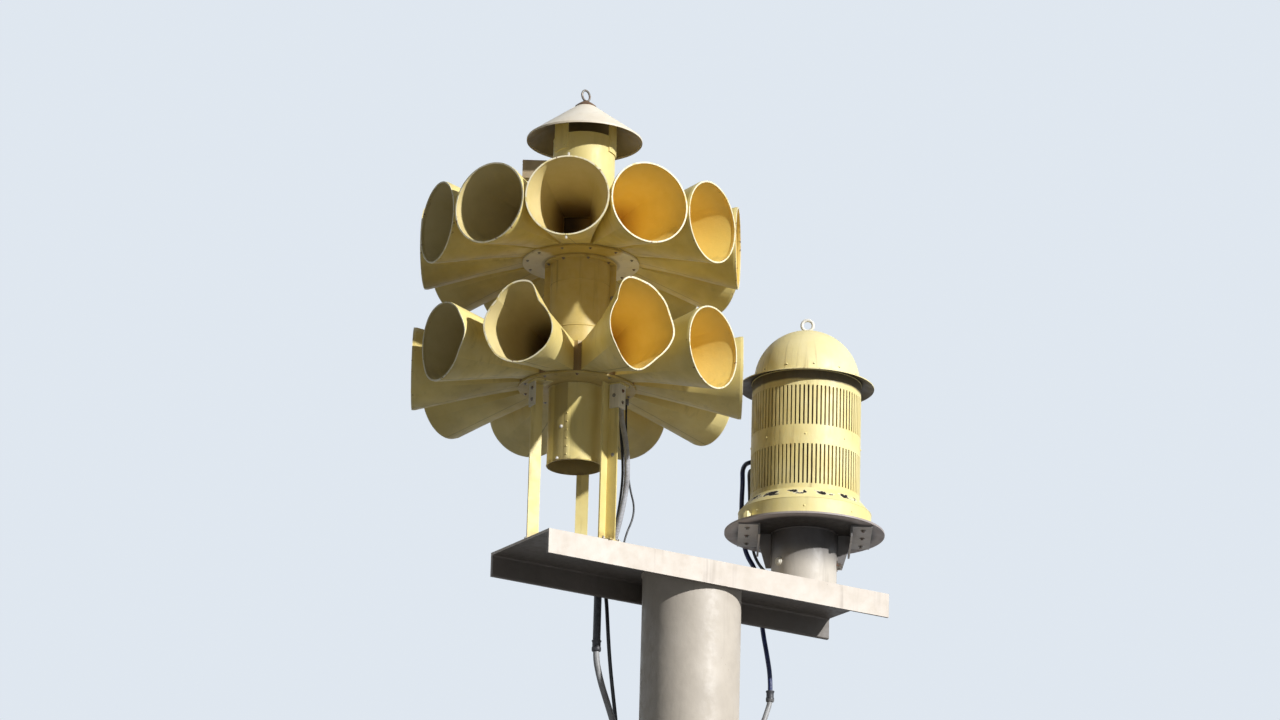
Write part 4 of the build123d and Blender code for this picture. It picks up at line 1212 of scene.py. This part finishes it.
def add_big_siren_leads():
    """Black lead, grey flexible conduit and thin wire that come down beside the right leg."""
    lead = [
        (-0.363, 0, 0.666), (-0.363, 0, 0.580), (-0.341, 0.001, 0.410), (-0.346, 0.002, 0.290),
        (-0.366, 0.006, 0.150), (-0.354, 0.046, 0.048), (-0.314, 0.130, 0.0254), (-0.280, 0.204, 0.0574),
        (-0.258, 0.268, 0.004), (-0.248, 0.260, -0.096), (-0.243, 0.250, -0.230), (-0.229, 0.249, -0.370),
        (-0.196, 0.254, -0.560), (-0.182, 0.238, -0.720), (-0.1855, 0.2134, -0.8185), (-0.153, 0.176, -0.868),
    ]
    conduit = [
        (-0.382, -0.030, 0.666), (-0.382, -0.030, 0.610), (-0.354, -0.038, 0.490), (-0.344, -0.038, 0.350),
        (-0.364, -0.038, 0.220), (-0.388, -0.030, 0.096), (-0.382, 0.040, 0.0254), (-0.352, 0.114, 0.0474),
        (-0.318, 0.190, 0.084), (-0.300, 0.2449, 0.030), (-0.300, 0.2449, -0.025),
    ]
    wire = [
        (-0.346, -0.014, 0.666), (-0.346, -0.014, 0.580), (-0.334, -0.014, 0.440), (-0.323, -0.014, 0.325),
        (-0.286, -0.014, 0.220), (-0.344, -0.014, 0.090), (-0.344, -0.014, 0.0354),
    ]
    add_lead("motor_lead", over_web(lead), 0.008, "black")
    add_lead("motor_conduit", over_web(conduit), 0.011, "flex_light")
    add_lead("motor_wire", over_web(wire), 0.004, "black")


def add_small_siren_leads():
    """Dark blue lead and thin grey conduit that come off the small siren's back."""
    lead = round_siren(((100, 0.253, 0.642),))
    lead.append(lead[0] + outward(radians(150)) * 0.064)
    lead += round_siren((
        (119.5, 0.298, 0.598), (122, 0.288, 0.532), (118, 0.302, 0.460), (111, 0.326, 0.390),
        (104, 0.350, 0.315), (100.5, 0.349, 0.250), (96.5, 0.316, 0.186),
    ))
    lead += over_web((
        (0.514, 0.286, 0.096), (0.514, 0.272, 0.006), (0.518, 0.262, -0.088), (0.534, 0.248, -0.196),
        (0.548, 0.241, -0.290), (0.548, 0.241, -0.350),
    ))
    conduit = round_siren(((100, 0.253, 0.606),))
    conduit.append(conduit[0] + outward(radians(150)) * 0.044)
    conduit += round_siren((
        (122, 0.262, 0.578), (123, 0.256, 0.516), (118, 0.264, 0.446), (108, 0.296, 0.380),
        (97, 0.3455, 0.315), (93, 0.3445, 0.240), (93, 0.2745, 0.168),
    ))
    conduit += over_web(((0.524, 0.176, 0.114), (0.524, 0.176, 0.0354)))
    add_lead("siren_lead", lead, 0.010, "blue")
    add_lead("siren_conduit", conduit, 0.0065, "flex_dark")


def conduit_couplings(forge):
    """Couplings at the tops of the two rigid conduits."""
    for at, wire in zip(over_web(((-0.300, 0.2449, -0.268), (0.548, 0.241, -0.350))), (0.013, 0.011)):
        outer = wire + 0.0045
        profile = (
            (wire, -0.046), (outer, -0.046), (outer + 0.002, -0.042), (outer + 0.002, -0.030),
            (outer, -0.026), (outer, -0.008), (outer + 0.0025, -0.004), (outer + 0.0025, 0.0), (wire, 0.0),
        )
        forge.lathe(profile, at, UP, 24)


# Pieces in the order of their random draws, each by the function of its name, with its paint and slot
PIECES = (
    (hub_bolts, "nut", "eye_steel"),
    (throat_welds, "hub", "hub_paint"),
    (mouth_tabs, "clip", "eye_steel"),
    (housing_rings, "hub", "hub_paint"),
    (housing_bolts, "nut", "eye_steel"),
    (leg_plates, "leg", "hub_paint"),
    (leg_bolts, "nut", "eye_steel"),
    (can_seam, "can", "horn_paint"),
    (can_screws, "ring", "eye_steel"),
    (neck_seam, "neck", "hat_paint"),
    (strap_rivets, "neck", "hat_paint"),
    (hat_seams, "hat", "hat_paint"),
    (hat_cone, "bolt", "eye_steel"),
    (box_lid, "box", "box_grey"),
    (small_siren_seams, "skirt", "siren_paint"),
    (dome_fittings, "dome", "dome_paint"),
    (disc_nuts, "nut", "eye_steel"),
    (disc_lug, "skirt", "siren_paint"),
    (stub_plug, "clip", "siren_paint"),
    (stub_welds, "stub", "disc_paint"),
    (pole_welds, "pole", "pole_paint"),
    (anchor_nuts, "bolt", "eye_steel"),
    (conduit_couplings, "gland", "conduit_grey"),
)


def add_details():
    """Add the pieces and the leads."""
    for shapes, paint, slot in PIECES:
        forge = Forge()
        shapes(forge)
        forge.piece(shapes.__name__, paint, slot)
    add_big_siren_leads()
    add_small_siren_leads()


def aim(turn, height):
    """Direction that is turned from the front round to the right and raised."""
    return Vector((sin(turn) * cos(height), -cos(turn) * cos(height), sin(height)))


def add_camera():
    camera = in_scene("camera", bpy.data.cameras.new("camera"))
    back = aim(CAMERA_TURN, CAMERA_TILT)
    level_right = (-back).cross(UP).normalized()
    level_up = level_right.cross(-back)
    right = level_right * cos(CAMERA_ROLL) + level_up * sin(CAMERA_ROLL)
    up = level_up * cos(CAMERA_ROLL) - level_right * sin(CAMERA_ROLL)
    turn = Matrix((right, up, back)).transposed()
    camera.matrix_world = Matrix.Translation(CAMERA_AT) @ turn.to_4x4()
    camera.data.lens = CAMERA_LENS
    camera.data.clip_end = CAMERA_FAR
    bpy.context.scene.camera = camera


def add_key_light():
    lamp = bpy.data.lights.new("key", "SUN")
    lamp.energy = KEY_STRENGTH
    lamp.angle = KEY_SOFTNESS
    key = in_scene("key", lamp)
    key.rotation_mode = "QUATERNION"
    key.rotation_quaternion = aim(KEY_TURN, KEY_HEIGHT).to_track_quat("Z", "Y")


def show_directly(tree, output, usual, seen, share=None):
    """Surface that looks different where the camera sees it directly, in a gloss or through glass."""
    path = tree.nodes.new("ShaderNodeLightPath")
    direct = path.outputs["Is Camera Ray"]
    steps = [("MAXIMUM", path.outputs["Is Glossy Ray"]), ("MAXIMUM", path.outputs["Is Transmission Ray"])]
    if share is not None:
        steps.append(("MULTIPLY", share))
    for operation, other in steps:
        node = tree.nodes.new("ShaderNodeMath")
        node.operation = operation
        tree.links.new(direct, node.inputs[0])
        tree.links.new(other, node.inputs[1])
        direct = node.outputs[0]
    blend = tree.nodes.new("ShaderNodeMixShader")
    for socket, source in zip(blend.inputs, (direct, usual, seen)):
        tree.links.new(source, socket)
    tree.links.new(blend.outputs[0], output.inputs["Surface"])


def add_world():
    """Dim fill light from all sides, before a plain background."""
    world = bpy.data.worlds.new("studio")
    world.use_nodes = True
    tree = world.node_tree
    tree.nodes.clear()
    fill = tree.nodes.new("ShaderNodeBackground")
    fill.inputs["Color"].default_value = FILL
    fill.inputs["Strength"].default_value = FILL_STRENGTH
    shown = tree.nodes.new("ShaderNodeBackground")
    shown.inputs["Color"].default_value = BACKGROUND
    output = tree.nodes.new("ShaderNodeOutputWorld")
    show_directly(tree, output, fill.outputs[0], shown.outputs[0])
    bpy.context.scene.world = world


def floor_paint():
    """Pale floor that fades into the background far from the pole."""
    coat = Coat("floor")
    coat.colour = coat.mix(coat.patches(0.6, 4, 0.3, 0.7), *FLOOR_TONES)
    coat.lay(FLOOR_BOUNCE, coat.node("LightPath").outputs["Is Diffuse Ray"])
    coat.roughness = 0.85
    glow = coat.node("Emission")
    glow.inputs["Color"].default_value = BACKGROUND
    coat.centre_on(Vector((0, 0, 0)))
    far = coat.ramp(coat.reach, FADE_FROM, FADE_TO)
    show_directly(coat.tree, coat.output, coat.shader.outputs[0], glow.outputs[0], far)
    return coat.done()


def add_floor():
    mesh = bpy.data.meshes.new("floor")
    form = bmesh.new()
    bmesh.ops.create_circle(form, cap_ends=True, segments=96, radius=FLOOR_RADIUS)
    form.to_mesh(mesh)
    form.free()
    floor = in_scene("floor", mesh)
    mesh.materials.append(floor_paint())


bpy.context.scene.view_settings.view_transform = "Standard"
dress_nodes()
add_details()
add_camera()
add_key_light()
add_world()
add_floor()
